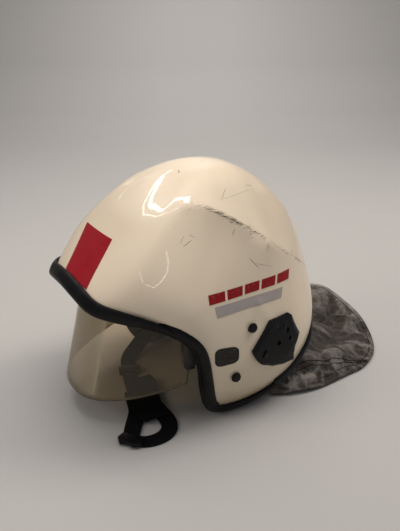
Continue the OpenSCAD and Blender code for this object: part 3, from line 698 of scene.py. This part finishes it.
# The rubber's height over the skin at shares of that reach
LEG_PROFILE = [(0.0, 4.2), (0.25, 5.0), (0.6, 4.6), (0.85, 3.3), (0.97, 1.5), (1.0, -0.4)]
LEG_STEP = 2.5 * MM
WALK_STEP = 1.0 * MM
LEG_ENDS = 104 * MM
LEG_FADE = 22 * MM
# How far the leg's ends sink under the brim's trim
LEG_SUNK = 1.2
MIDDLE = Vector((-0.02, 0, 0.13))
OUTER_FACING = 0.12


def between(table, x):
    """A value read from a table of (x, value) rows, with straight runs between them."""
    for (ax, a), (bx, b) in zip(table, table[1:]):
        if x <= bx:
            return a + (b - a) * clamp((x - ax) / (bx - ax))
    return table[-1][1]


def outer_skin():
    """The shell's outer faces alone: those that face away from the helmet's middle."""
    mesh = opened(SHELL)
    away = [(f, (f.calc_center_median() - MIDDLE).normalized()) for f in mesh.faces]
    inner = [f for f, outward in away if f.normal.dot(outward) < OUTER_FACING]
    bmesh.ops.delete(mesh, geom=inner, context="FACES")
    return mesh


def rim_row(mesh):
    """Places along a mesh's longest open edge, a step apart, each with its direction into the faces."""
    edges = [e for e in mesh.edges if e.is_boundary]
    rows = []
    while edges:
        row = list(edges.pop(0).verts)
        while step := next((e for e in edges if row[-1] in e.verts), None):
            edges.remove(step)
            row.append(step.other_vert(row[-1]))
        rows.append(row[:-1])
    kept = []
    for corner in max(rows, key=len):
        if not kept or (corner.co - kept[-1].co).length >= LEG_STEP:
            kept.append(corner)
    inward = [sum((f.calc_center_median() - v.co for f in v.link_faces), Vector()) for v in kept]
    return [v.co.copy() for v in kept], [way.normalized() for way in inward]


def leg_section(skin, place, along, heading):
    """One section of the leg: a walk over the skin from the rim, with the rubber's height on the way."""
    reach = between(LEG_REACH, place.x / MM) * MM
    fade = clamp((LEG_ENDS - place.x) / LEG_FADE)
    outward = skin.find_nearest(place + heading * 0.5 * MM)[1]
    section = []
    gone = 0.0
    for share, height in LEG_PROFILE:
        while gone < share * reach - 0.01 * MM:
            step = min(WALK_STEP, share * reach - gone)
            nearest, outward, _, _ = skin.find_nearest(place + heading * step)
            moved = square_to(along, nearest - place)
            if moved.length > 0.2 * step:
                heading = moved.normalized()
            place = nearest
            gone += step
        outward = square_to(along, outward).normalized()
        if share == 0.0:
            outward = (outward - heading * 0.6).normalized()
        section.append(place + outward * (height * fade - LEG_SUNK * (1 - fade)) * MM)
    return section


def make_trim_leg():
    skin_mesh = outer_skin()
    skin = BVHTree.FromBMesh(skin_mesh)
    rings, inward = rim_row(skin_mesh)
    skin_mesh.free()
    points, faces = [], []
    count, total = len(LEG_PROFILE), len(rings)
    for i, rim in enumerate(rings):
        along = (rings[(i + 2) % total] - rings[i - 2]).normalized()
        heading = sum((inward[(i + k) % total] for k in range(-3, 4)), Vector())
        points += leg_section(skin, rim, along, square_to(along, heading).normalized())
        if rim.x < LEG_ENDS:
            a, b = i * count, (i + 1) % total * count
            faces += [(a + k, b + k, b + k + 1, a + k + 1) for k in range(count - 1)]
    piece = new_piece("trim_leg", points, faces)
    edit(piece, (bpy.ops.mesh.delete_loose, {}), (bpy.ops.mesh.normals_make_consistent, {"inside": False}))
    finish(piece, 80, RUBBER)


make_trim_leg()


# Rigid pieces whose CAD form is right: a copy with softened edges and smooth curves

def soften(node, material, rounding, body="helmet"):
    piece = copy_of(node, node + "_finished")
    bevel(piece, rounding)
    finish(piece, 35, material, body, [node])


for side in ("left", "right"):
    soften("visor_arm_" + side, ARM, 0.5, "visor")
    soften("strap_anchor_" + side, ANCHOR, 0.3)
soften("pivot_pins", SCREW, 0.35)
soften("strap_bolts", SCREW, 0.35)
soften("pivot_bushes", BUSH, 0.4)
soften("plate_screws", PLATE_SCREW, 0.2)
soften("headband", BAND, 0.4)
soften("headband_hangers", BAND, 0.6)
soften("ratchet_housing", BAND, 1.0)
soften("ratchet_knob", KNOB, 0.5, "size_knob")
soften("strap_slider", BUCKLE, 0.7, "slider")
soften("hook_buckle", BUCKLE, 1.0)
soften("curtain_studs", STUD, 0.3)


# The side plates: a raised fold between two flat faces, with sunken screw places and a slot

PLATE_FOLD = [(-31, 116), (-58, 83)]
FOLD_RISE = 2.3 * MM
FOLD_REACH = 15 * MM
RECESSES = [(-52, 101, 3.4, 2.2, 35), (-54, 92, 2.6, 1.8, 35), (-19, 82, 5.0, 1.4, 30)]
RECESS_DEPTH = 1.6 * MM
PLATE_THICK = 4 * MM


def distance_to_line(x, z, line):
    (ax, az), (bx, bz) = ((px * MM, pz * MM) for px, pz in line)
    share = clamp(((x - ax) * (bx - ax) + (z - az) * (bz - az)) / ((bx - ax) ** 2 + (bz - az) ** 2))
    return math.hypot(x - ax - share * (bx - ax), z - az - share * (bz - az))


def cut_along(piece, line):
    """Splits the faces of a side piece along a line in x and z, so that it can fold there."""
    (ax, az), (bx, bz) = line
    mesh = opened(piece)
    parts = mesh.verts[:] + mesh.edges[:] + mesh.faces[:]
    bmesh.ops.bisect_plane(mesh, geom=parts, plane_co=in_metres(ax, 0, az), plane_no=(bz - az, 0, ax - bx))
    close_into(piece, mesh)


def face_of(piece, x, z, hand):
    """The outermost point of a side piece over x and z, and the way it faces."""
    _, place, outward, _ = piece.ray_cast(Vector((x, hand * 0.3, z)), Vector((0, -hand, 0)))
    return place, outward


def sink_recess(piece, x, z, half_length, half_width, turn, hand):
    place, outward = face_of(piece, x * MM, z * MM, hand)
    deselect_all()
    bpy.ops.mesh.primitive_cylinder_add(vertices=32, radius=1, depth=2, location=(0, 0, 0))
    cutter = bpy.context.object
    bpy.ops.transform.resize(value=(half_length * MM, half_width * MM, RECESS_DEPTH))
    bpy.ops.transform.rotate(value=turn * DEG, orient_axis="Z")
    bpy.ops.object.transform_apply()
    cutter.matrix_world = Matrix.Translation(place) @ outward.to_track_quat("Z", "X").to_matrix().to_4x4()
    modifier = piece.modifiers.new("recess", "BOOLEAN")
    modifier.object = cutter
    modifier.operation = "DIFFERENCE"
    modifier.solver = "EXACT"
    apply_modifiers(piece)
    bpy.data.objects.remove(cutter)


# The plate's corners, x and z, and their moves over the skin to the photo's outline, in millimetres
PLATE_MOVES = [
    (-51, 122, -7, -6), (-56, 118, -7, -6), (-67, 94, -5, -4), (-60, 83, -3, -5), (-67, 56.5, 4, 4),
    (-19, 64.5, 2, 4), (-13.5, 71, 1, 2), (-5, 87, 0, 0), (-28.7, 117.7, -2, -2),
]
SOCKET_AT = Vector((-38.6, 89.6)) * MM
SOCKET_KEPT = 5 * MM
MOVES_FULL = 17 * MM
PLATE_SHRINK = 0.97


def corner_weights(x, z):
    """The share of each corner in a place inside the plate's outline: mean-value weights."""
    spokes = [(cx * MM - x, cz * MM - z) for cx, cz, _, _ in PLATE_MOVES]
    halves = []
    for (ax, az), (bx, bz) in zip(spokes, spokes[1:] + spokes[:1]):
        turn = abs(math.atan2(ax * bz - az * bx, ax * bx + az * bz))
        halves.append(math.tan(min(turn / 2, 1.5)))
    weights = []
    for i, spoke in enumerate(spokes):
        weights.append((halves[i - 1] + halves[i]) / max(math.hypot(*spoke), 0.01 * MM))
    return [weight / sum(weights) for weight in weights]


def plate_move(point):
    """The move of a point of the plate: straight between the corners, and none at the lamp socket."""
    away = Vector((point.x, point.z)) - SOCKET_AT
    weights = corner_weights(*(SOCKET_AT + away * PLATE_SHRINK))
    dx = sum(weight * move[2] for weight, move in zip(weights, PLATE_MOVES))
    dz = sum(weight * move[3] for weight, move in zip(weights, PLATE_MOVES))
    return in_metres(dx, 0, dz) * clamp((away.length - SOCKET_KEPT) / (MOVES_FULL - SOCKET_KEPT))


def make_side_plate(side, hand):
    piece = copy_of("side_plate_" + side, "side_plate_" + side + "_finished")
    subdivide(piece, 2, "SIMPLE")
    for vertex in piece.data.vertices:
        skin, _ = on_skin(vertex.co)
        height = (vertex.co - skin).length
        seat, outward = on_skin(skin + plate_move(vertex.co))
        vertex.co = seat + outward * height
    cut_along(piece, PLATE_FOLD)
    for vertex in piece.data.vertices:
        co = vertex.co
        skin, outward = on_skin(co)
        near = clamp(1 - distance_to_line(co.x, co.z, PLATE_FOLD) / FOLD_REACH)
        vertex.co = co + outward * FOLD_RISE * near * clamp((co - skin).length / PLATE_THICK)
    for recess in RECESSES:
        sink_recess(piece, *recess, hand)
    bevel(piece, 0.5, 32)
    finish(piece, 14, PLATE, replaces=["side_plate_" + side])


make_side_plate("left", 1)
make_side_plate("right", -1)


def make_visor():
    piece = copy_of("visor", "visor_window")
    rim = sharp_edge_points(piece, 50, 0.8 * MM)
    crease_sharp_edges(piece, 50, 1.0)
    subdivide(piece, 2)
    mark_nearness(piece, "edge", rim, 3.0 * MM)
    finish(piece, 40, VISOR, "visor", ["visor"])


make_visor()


def make_liner():
    piece = copy_of("impact_liner", "liner_foam")
    crease_sharp_edges(piece, 60, 0.5)
    subdivide(piece, 1)
    finish(piece, 50, LINER, replaces=["impact_liner"])


make_liner()


# Pads: bevelled, rounded forms that swell between their seams

PAD_CRUMPLE = 0.35 * MM


def make_pad(node, material, edge, tuft=0.0, channels=0):
    piece = copy_of(node, node + "_cushion")
    bevel(piece, edge, segments=3)
    subdivide(piece, 2)
    low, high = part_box(node)
    middle = (low + high) / 2
    for vertex in piece.data.vertices:
        across = (vertex.co.y - low.y) / (high.y - low.y)
        groove = math.sin(math.pi * channels * across) ** 2 if channels else 1.0
        pull = (vertex.co - middle) * -0.03 * (1 - groove) * tuft
        crumple = [noise.noise(vertex.co * 45 + Vector((k, 0, 0))) for k in range(3)]
        vertex.co += pull + Vector(crumple) * PAD_CRUMPLE
    finish(piece, 60, material, replaces=[node])


make_pad("cheek_pad_left", PAD, 4)
make_pad("cheek_pad_right", PAD, 4)
make_pad("brow_pad", BROW, 1.8, 1.0, 9)
make_pad("nape_pad", BROW, 1.8, 1.0, 7)
make_pad("crown_pad", PAD, 1.0)


# Flat webbing: firm edges, a soft face and a little life along its run. The slider presses it thinner

PRESS_REACH = 22 * MM
PRESS_DEPTH = 0.28 * MM


def make_webbing(node, material, waver=0.3, pressed_at=None):
    piece = copy_of(node, node + "_band")
    crease_sharp_edges(piece, 55, 0.75)
    subdivide(piece, 3)
    for vertex in piece.data.vertices:
        vertex.co.z += noise.noise(vertex.co * 60) * waver * MM
        if pressed_at:
            near = clamp(2 - (vertex.co - pressed_at).length / PRESS_REACH)
            vertex.co -= vertex.normal * PRESS_DEPTH * near
    finish(piece, 50, material, replaces=[node])


make_webbing("cradle_strap_front", CRADLE)
make_webbing("cradle_strap_rear", CRADLE)
make_webbing("strap_webbing_left", WEBBING)
slider_low, slider_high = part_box("strap_slider")
make_webbing("strap_webbing_right", WEBBING, 0.0, (slider_low + slider_high) / 2)
make_webbing("chin_loop", WEBBING)


# The strap's folded end, which lies over the top of the loop: its outline in plan, in millimetres
STRAP_FOLD = [(76.6, -7.3), (56.7, -9.3), (55.3, 7.3), (65.1, 29.6), (72.2, 54.3), (73.4, 74.2),
              (88.6, 74.4), (102.5, 77.5), (107.6, 70.3), (103.9, 41.0), (96.4, 11.8)]
FOLD_LIES_AT = 7.4 * MM
WEBBING_THICK = 1.8 * MM


def make_strap_fold():
    mesh = bmesh.new()
    mesh.faces.new([mesh.verts.new(in_metres(x, y, 0)) for x, y in STRAP_FOLD])
    bmesh.ops.triangulate(mesh, faces=mesh.faces[:])
    bmesh.ops.subdivide_edges(mesh, edges=mesh.edges[:], cuts=5, use_grid_fill=True)
    for vertex in mesh.verts:
        vertex.co.z = FOLD_LIES_AT + noise.noise(vertex.co * 55) * 1.6 * MM
    piece = new_piece("strap_fold", [], [])
    close_into(piece, mesh)
    thicken(piece, WEBBING_THICK, 1)
    finish(piece, 50, WEBBING)


make_strap_fold()


# The neck curtain: the CAD folds, with wrinkles, a turned hem gathered by its stitches, and crests painted
# lighter as rubbed coat and painted highlight

# Points of the hem in plan, in millimetres, from the left cheek round the back to the right one
HEM = [
    (-52, 94), (-67, 103), (-86, 109), (-108, 112), (-135, 109), (-163, 105), (-186, 102), (-206, 93),
    (-224, 81), (-241, 62), (-257, 36), (-268, 8), (-269, -18), (-263, -39), (-255, -56), (-244, -71),
    (-228, -85), (-205, -97), (-175, -106), (-140, -109), (-105, -106), (-75, -98), (-55, -90),
]
HEM_WIDTH = 6 * MM
SEAM_AT = 91 * MM
GATHER_REACH = 26 * MM
GATHERS = 74
GATHER_RISE = 1.5 * MM
HEM_RISE = 0.9 * MM
CREST_RISE = 3.2 * MM
CLOTH_HELD_AT = 62 * MM
CLOTH_LOWEST = 0.35 * MM


def wrinkle(point):
    """Height of the creases at a point of the cloth, in metres: broad, sharp-crested and fine."""
    broad = noise.noise(Vector((point.x * 15, point.y * 15, 3.0)))
    ridged = 1 - abs(noise.noise(Vector((point.x * 30 + broad * 1.5, point.y * 22 - broad, 7.0)))) * 2.4
    fine = 1 - abs(noise.noise(Vector((point.x * 75 - broad, point.y * 60, 11.0)))) * 2
    return (broad * 2.6 + ridged * 2.4 + fine * 1.3) * MM


def mark_crests(piece, rounds=26):
    """A point attribute that is high where the cloth stands out from its smoothed form."""
    vertices = piece.data.vertices
    neighbours = [[] for _ in vertices]
    for edge in piece.data.edges:
        a, b = edge.vertices
        neighbours[a].append(b)
        neighbours[b].append(a)
    height = [v.co.z for v in vertices]
    for _ in range(rounds):
        height = [sum(height[n] for n in near) / len(near) if near else h
                  for h, near in zip(height, neighbours)]
    crests = [clamp(0.5 + (v.co.z - h) / CREST_RISE) for v, h in zip(vertices, height)]
    write_attribute(piece, "crest", crests)


def plan_path(points, count_of):
    """Closely spaced places at table height along plan points, so many to a part as its length gives."""
    places = [in_metres(x, y, 0) for x, y in points]
    path = []
    for a, b in zip(places, places[1:]):
        count = count_of((b - a).length)
        path += [a.lerp(b, k / count) for k in range(count)]
    return path


def make_curtain():
    piece = copy_of("neck_curtain", "curtain_sheet")
    crease_sharp_edges(piece, 70, 0.6)
    subdivide(piece, 2)
    line = plan_path(HEM, lambda length: 12)
    tree = nearest_tree(line)
    for vertex in piece.data.vertices:
        co = vertex.co
        if co.z > CLOTH_HELD_AT:
            continue
        _, index, reach = tree.find(Vector((co.x, co.y, 0)))
        share = index / len(line)
        inside = min(1.0, reach / (14 * MM))
        fade = clamp(1 - reach / GATHER_REACH) * (0.7 + 0.65 * noise.noise(Vector((share * 9, 0, 2))))
        lift = HEM_RISE
        if reach > HEM_WIDTH:
            lift = abs(math.sin(share * math.pi * GATHERS)) ** 0.7 * fade * GATHER_RISE
        co.z = max(CLOTH_LOWEST, co.z + wrinkle(co) * (0.2 + 0.8 * inside) + lift)
    # The crest heights place the lighter colour of the crests: rubbed coat and painted highlight.
    mark_crests(piece)
    # Where the lighter crests show most, below the seam and near the hem: rubbed coat and painted highlight.
    wear = []
    for vertex in piece.data.vertices:
        co = vertex.co
        reach = tree.find(Vector((co.x, co.y, 0)))[2]
        skirt = clamp((co.y - SEAM_AT) / (5 * MM))
        wear.append(max(0.28, skirt * 0.95, 0.85 - reach / (45 * MM)))
    write_attribute(piece, "wear", wear)
    finish(piece, 60, CURTAIN, replaces=["neck_curtain"])
    return piece


CLOTH = make_curtain()
SEAM = [(-84, 89), (-103, 91), (-118, 92.7), (-136, 93.7), (-152, 93.8), (-180, 90), (-195, 91.6), (-202, 93)]
THREAD = woven("seam_thread", (0.0015, 0.0012, 0.0012), (0.005, 0.004, 0.0038), sheen=0.0)
STITCH_STEP = 0.8 * MM
THREAD_LIFT = 0.2 * MM


def sew(name, points, radius=0.45):
    """A line of stitches laid on the curtain from above: small beads of thread joined in a row."""
    path = plan_path(points, lambda length: max(1, int(length / STITCH_STEP)))
    rings = []
    for i, point in enumerate(path):
        hit, where, _, _ = CLOTH.ray_cast(Vector((point.x, point.y, 0.2)), Vector((0, 0, -1)))
        if not hit:
            continue
        along = (path[min(i + 1, len(path) - 1)] - path[max(i - 1, 0)]).normalized()
        aside = Vector((-along.y, along.x, 0))
        bead = radius * MM * (1.0 if i % 4 < 3 else 0.45)
        centre = where + Vector((0, 0, THREAD_LIFT))
        upward = Vector((0, 0, bead))
        turns = [k * math.pi / 3 for k in range(6)]
        rings.append([centre + aside * bead * math.cos(t) + upward * math.sin(t) for t in turns])
    faces = [(6 * i + k, 6 * i + (k + 1) % 6, 6 * i + 6 + (k + 1) % 6, 6 * i + 6 + k)
             for i in range(len(rings) - 1) for k in range(6)]
    faces += [tuple(range(5, -1, -1)), tuple(range(6 * len(rings) - 6, 6 * len(rings)))]
    piece = new_piece(name, [p for ring in rings for p in ring], faces)
    finish(piece, 60, THREAD)


def beside(points, distance):
    """The same run of plan points, moved sideways."""
    moved = []
    for i, (x, y) in enumerate(points):
        (ax, ay), (bx, by) = points[max(i - 1, 0)], points[min(i + 1, len(points) - 1)]
        length = math.hypot(bx - ax, by - ay)
        moved.append((x - (by - ay) / length * distance, y + (bx - ax) / length * distance))
    return moved


sew("seam_thread_upper", SEAM)
sew("seam_thread_lower", beside(SEAM, -2.6))
sew("hem_thread", beside(HEM[3:-3], 6.5), 0.35)


# Films on the shell: a plain red patch in front, and a tape, a broken stripe and a dark label at the side

FILM_LIFT = 0.25 * MM
FILM_THICK = 0.2 * MM


def lay_film(name, corners, material, direction, cells, rounding=0.0):
    """A thin film on the shell: four corners in millimetres, pressed on along a direction."""
    rows, columns = cells
    a, b, c, d = (Vector(p) * MM for p in corners)
    points = []
    for i in range(rows + 1):
        for j in range(columns + 1):
            u, v = 2 * i / rows - 1, 2 * j / columns - 1
            down = (1 + u * (1 - rounding * abs(v) ** 5)) / 2
            across = (1 + v * (1 - rounding * abs(u) ** 5)) / 2
            points.append(a.lerp(b, down).lerp(d.lerp(c, down), across))
    starts = [i * (columns + 1) + j for i in range(rows) for j in range(columns)]
    piece = new_piece(name, points, [(k, k + 1, k + columns + 2, k + columns + 1) for k in starts])
    toward = Vector(direction).normalized()
    for vertex in piece.data.vertices:
        hit, where, normal, _ = SHELL.ray_cast(vertex.co - toward * 0.12, toward)
        if hit:
            vertex.co = where + normal * FILM_LIFT
    thicken(piece, FILM_THICK, 0)
    finish(piece, 50, material)


RED_FILM = film("red_film", (0.290, 0.010, 0.018), 0.1, 0.3)
STRIPE_FILM = film("stripe_film", (0.270, 0.006, 0.008), 0.35, 0.4)
TAPE_FILM = film("tape_film", (0.40, 0.355, 0.345), 0.2, 0.5)
LABEL_FILM = film("label_film", (0.012, 0.009, 0.007), 0.35, 0.5)

FRONT_PATCH = [(107.8, -55.4, 200.8), (108.8, 19.0, 204.5), (148.0, 38.0, 162.5), (149.2, -20.3, 165.2)]
lay_film("front_patch", FRONT_PATCH, RED_FILM, (-1, 0, -0.35), (24, 18))
SIDE_TAPE = [(40.8, 119.0, 150.7), (39.3, 121.3, 138.8), (-52.7, 104.1, 133.8), (-57.2, 99.7, 144.3)]
lay_film("side_tape", SIDE_TAPE, TAPE_FILM, (0, -1, 0), (6, 30))
LABEL = [(44.0, 123.0, 105.0), (41.4, 120.7, 80.4), (11.0, 119.8, 78.3), (11.0, 119.5, 97.9)]
lay_film("cheek_label", LABEL, LABEL_FILM, (0, -1, 0), (14, 18), 0.17)
STRIPE = [(46.9, 115.2, 164.1), (47.3, 118.8, 154.4), (-72.4, 92.5, 149.1), (-76.0, 87.8, 158.9)]
STRIPE_BLOCKS = 5
STRIPE_GAP = 0.14
for block in range(STRIPE_BLOCKS):
    start, stop = block / STRIPE_BLOCKS, (block + 1 - STRIPE_GAP) / STRIPE_BLOCKS
    top_a, low_a, low_b, top_b = (Vector(p) for p in STRIPE)
    left_end = [top_a.lerp(top_b, start), low_a.lerp(low_b, start)]
    right_end = [low_a.lerp(low_b, stop), top_a.lerp(top_b, stop)]
    lay_film(f"side_stripe_{block}", left_end + right_end, STRIPE_FILM, (0, -1, 0), (5, 8))


# Scratches and scuffs: slivers of damaged paint that follow the skin

def add_sliver(points, faces, start, end, width, wander):
    """One tapered scratch between two places, in metres."""
    steps = max(4, int((end - start).length / (1.5 * MM)))
    along = (end - start).normalized()
    first = len(points)
    for i in range(steps + 1):
        share = i / steps
        place, outward = on_skin(start.lerp(end, share))
        aside = outward.cross(along).normalized()
        swell = math.sin(math.pi * share)
        sway = noise.noise(Vector((share * 3.1, start.x * 300, start.z * 300))) * wander * swell
        half = width * (0.12 + swell ** 0.7 * (0.6 + 0.4 * noise.noise(place * 900)))
        middle = place + aside * sway + outward * MARK_LIFT
        points += [middle - aside * half, middle + aside * half]
    faces += [(first + 2 * i, first + 2 * i + 1, first + 2 * i + 3, first + 2 * i + 2) for i in range(steps)]


def add_brush(spots, start, end, count):
    """Many short scratches along a line, all leaning about the same way."""
    for _ in range(count):
        share = CHANCE.random()
        middle = start.lerp(end, share)
        _, outward = on_skin(middle)
        along = (end - start).normalized()
        aside = outward.cross(along)
        lean = SCUFF_LEAN + CHANCE.gauss(0, 0.3)
        reach = SCUFF_LENGTH * CHANCE.uniform(0.3, 1.0) / 2
        middle = middle + aside * CHANCE.gauss(0, SCUFF_SPREAD) + along * CHANCE.gauss(0, SCUFF_SPREAD)
        step = (along * math.cos(lean) + aside * math.sin(lean)) * reach
        spots.append((middle - step, middle + step, SCUFF_WIDTH * CHANCE.uniform(0.5, 1.2)))


def lay_marks(name, spots, wander):
    points, faces = [], []
    for start, end, width in spots:
        add_sliver(points, faces, start, end, width, wander)
    piece = new_piece(name, points, faces)
    finish(piece, 80, SCRATCH)


# Long scratches seen on the left side and the crown: start, end and half width, in millimetres
SCRATCHES = [
    ((60.8, 88.0, 210.4), (49.6, 86.6, 215.4), 0.35), ((50.9, 82.7, 220.8), (46.0, 86.3, 216.8), 0.3),
    ((62.9, 85.5, 213.2), (56.5, 82.3, 219.6), 0.25), ((-12.6, 98.3, 187.1), (-24.4, 100.5, 173.9), 0.45),
    ((-37.8, 95.0, 187.8), (-42.1, 92.0, 197.5), 0.3), ((3.7, 89.8, 212.2), (-1.4, 87.2, 219.3), 0.35),
    ((-79.9, 82.3, 171.2), (-120.2, 59.7, 140.9), 0.3), ((3.5, 66.5, 244.9), (-9.6, 54.8, 252.9), 0.3),
    ((-38.2, 47.9, 250.2), (-50.0, 44.1, 246.3), 0.35), ((22.9, 6.9, 265.6), (24.9, 15.3, 264.5), 0.5),
    ((3.5, 66.5, 244.9), (-50.0, 50.0, 246.0), 0.16), ((-20.0, 100.0, 180.0), (-45.0, 98.0, 170.0), 0.2),
]
RIDGE_LINE = [(29.1, 73.0, 243.3), (17.8, 78.3, 237.5), (0.2, 83.5, 228.4), (-16.0, 87.8, 218.0),
              (-35.2, 88.4, 204.5), (-51.5, 90.2, 191.5), (-78.3, 82.4, 172.8), (-100.1, 73.4, 155.3)]
RIDGE_SCUFFS = [14, 34, 60, 26, 12, 14, 10]
MARK_LIFT = 0.05 * MM
SCUFF_LENGTH = 9 * MM
SCUFF_WIDTH = 0.22 * MM
SCUFF_SPREAD = 1.3 * MM
SCUFF_LEAN = 0.35
CHANCE = random.Random(7)
SCRATCH = moulded("scratch", (0.075, 0.055, 0.040), (0.16, 0.12, 0.085), 0.6)


def make_marks():
    long_ones = [(in_metres(*a), in_metres(*b), half * MM) for a, b, half in SCRATCHES]
    lay_marks("scratches", long_ones, 0.8 * MM)
    spots = []
    line = [in_metres(*p) for p in RIDGE_LINE]
    for a, b, count in zip(line, line[1:], RIDGE_SCUFFS):
        add_brush(spots, a, b, count)
        add_brush(spots, *(Vector((p.x, -p.y, p.z)) for p in (a, b)), count // 2)
    lay_marks("ridge_scuffs", spots, 0.3 * MM)


make_marks()
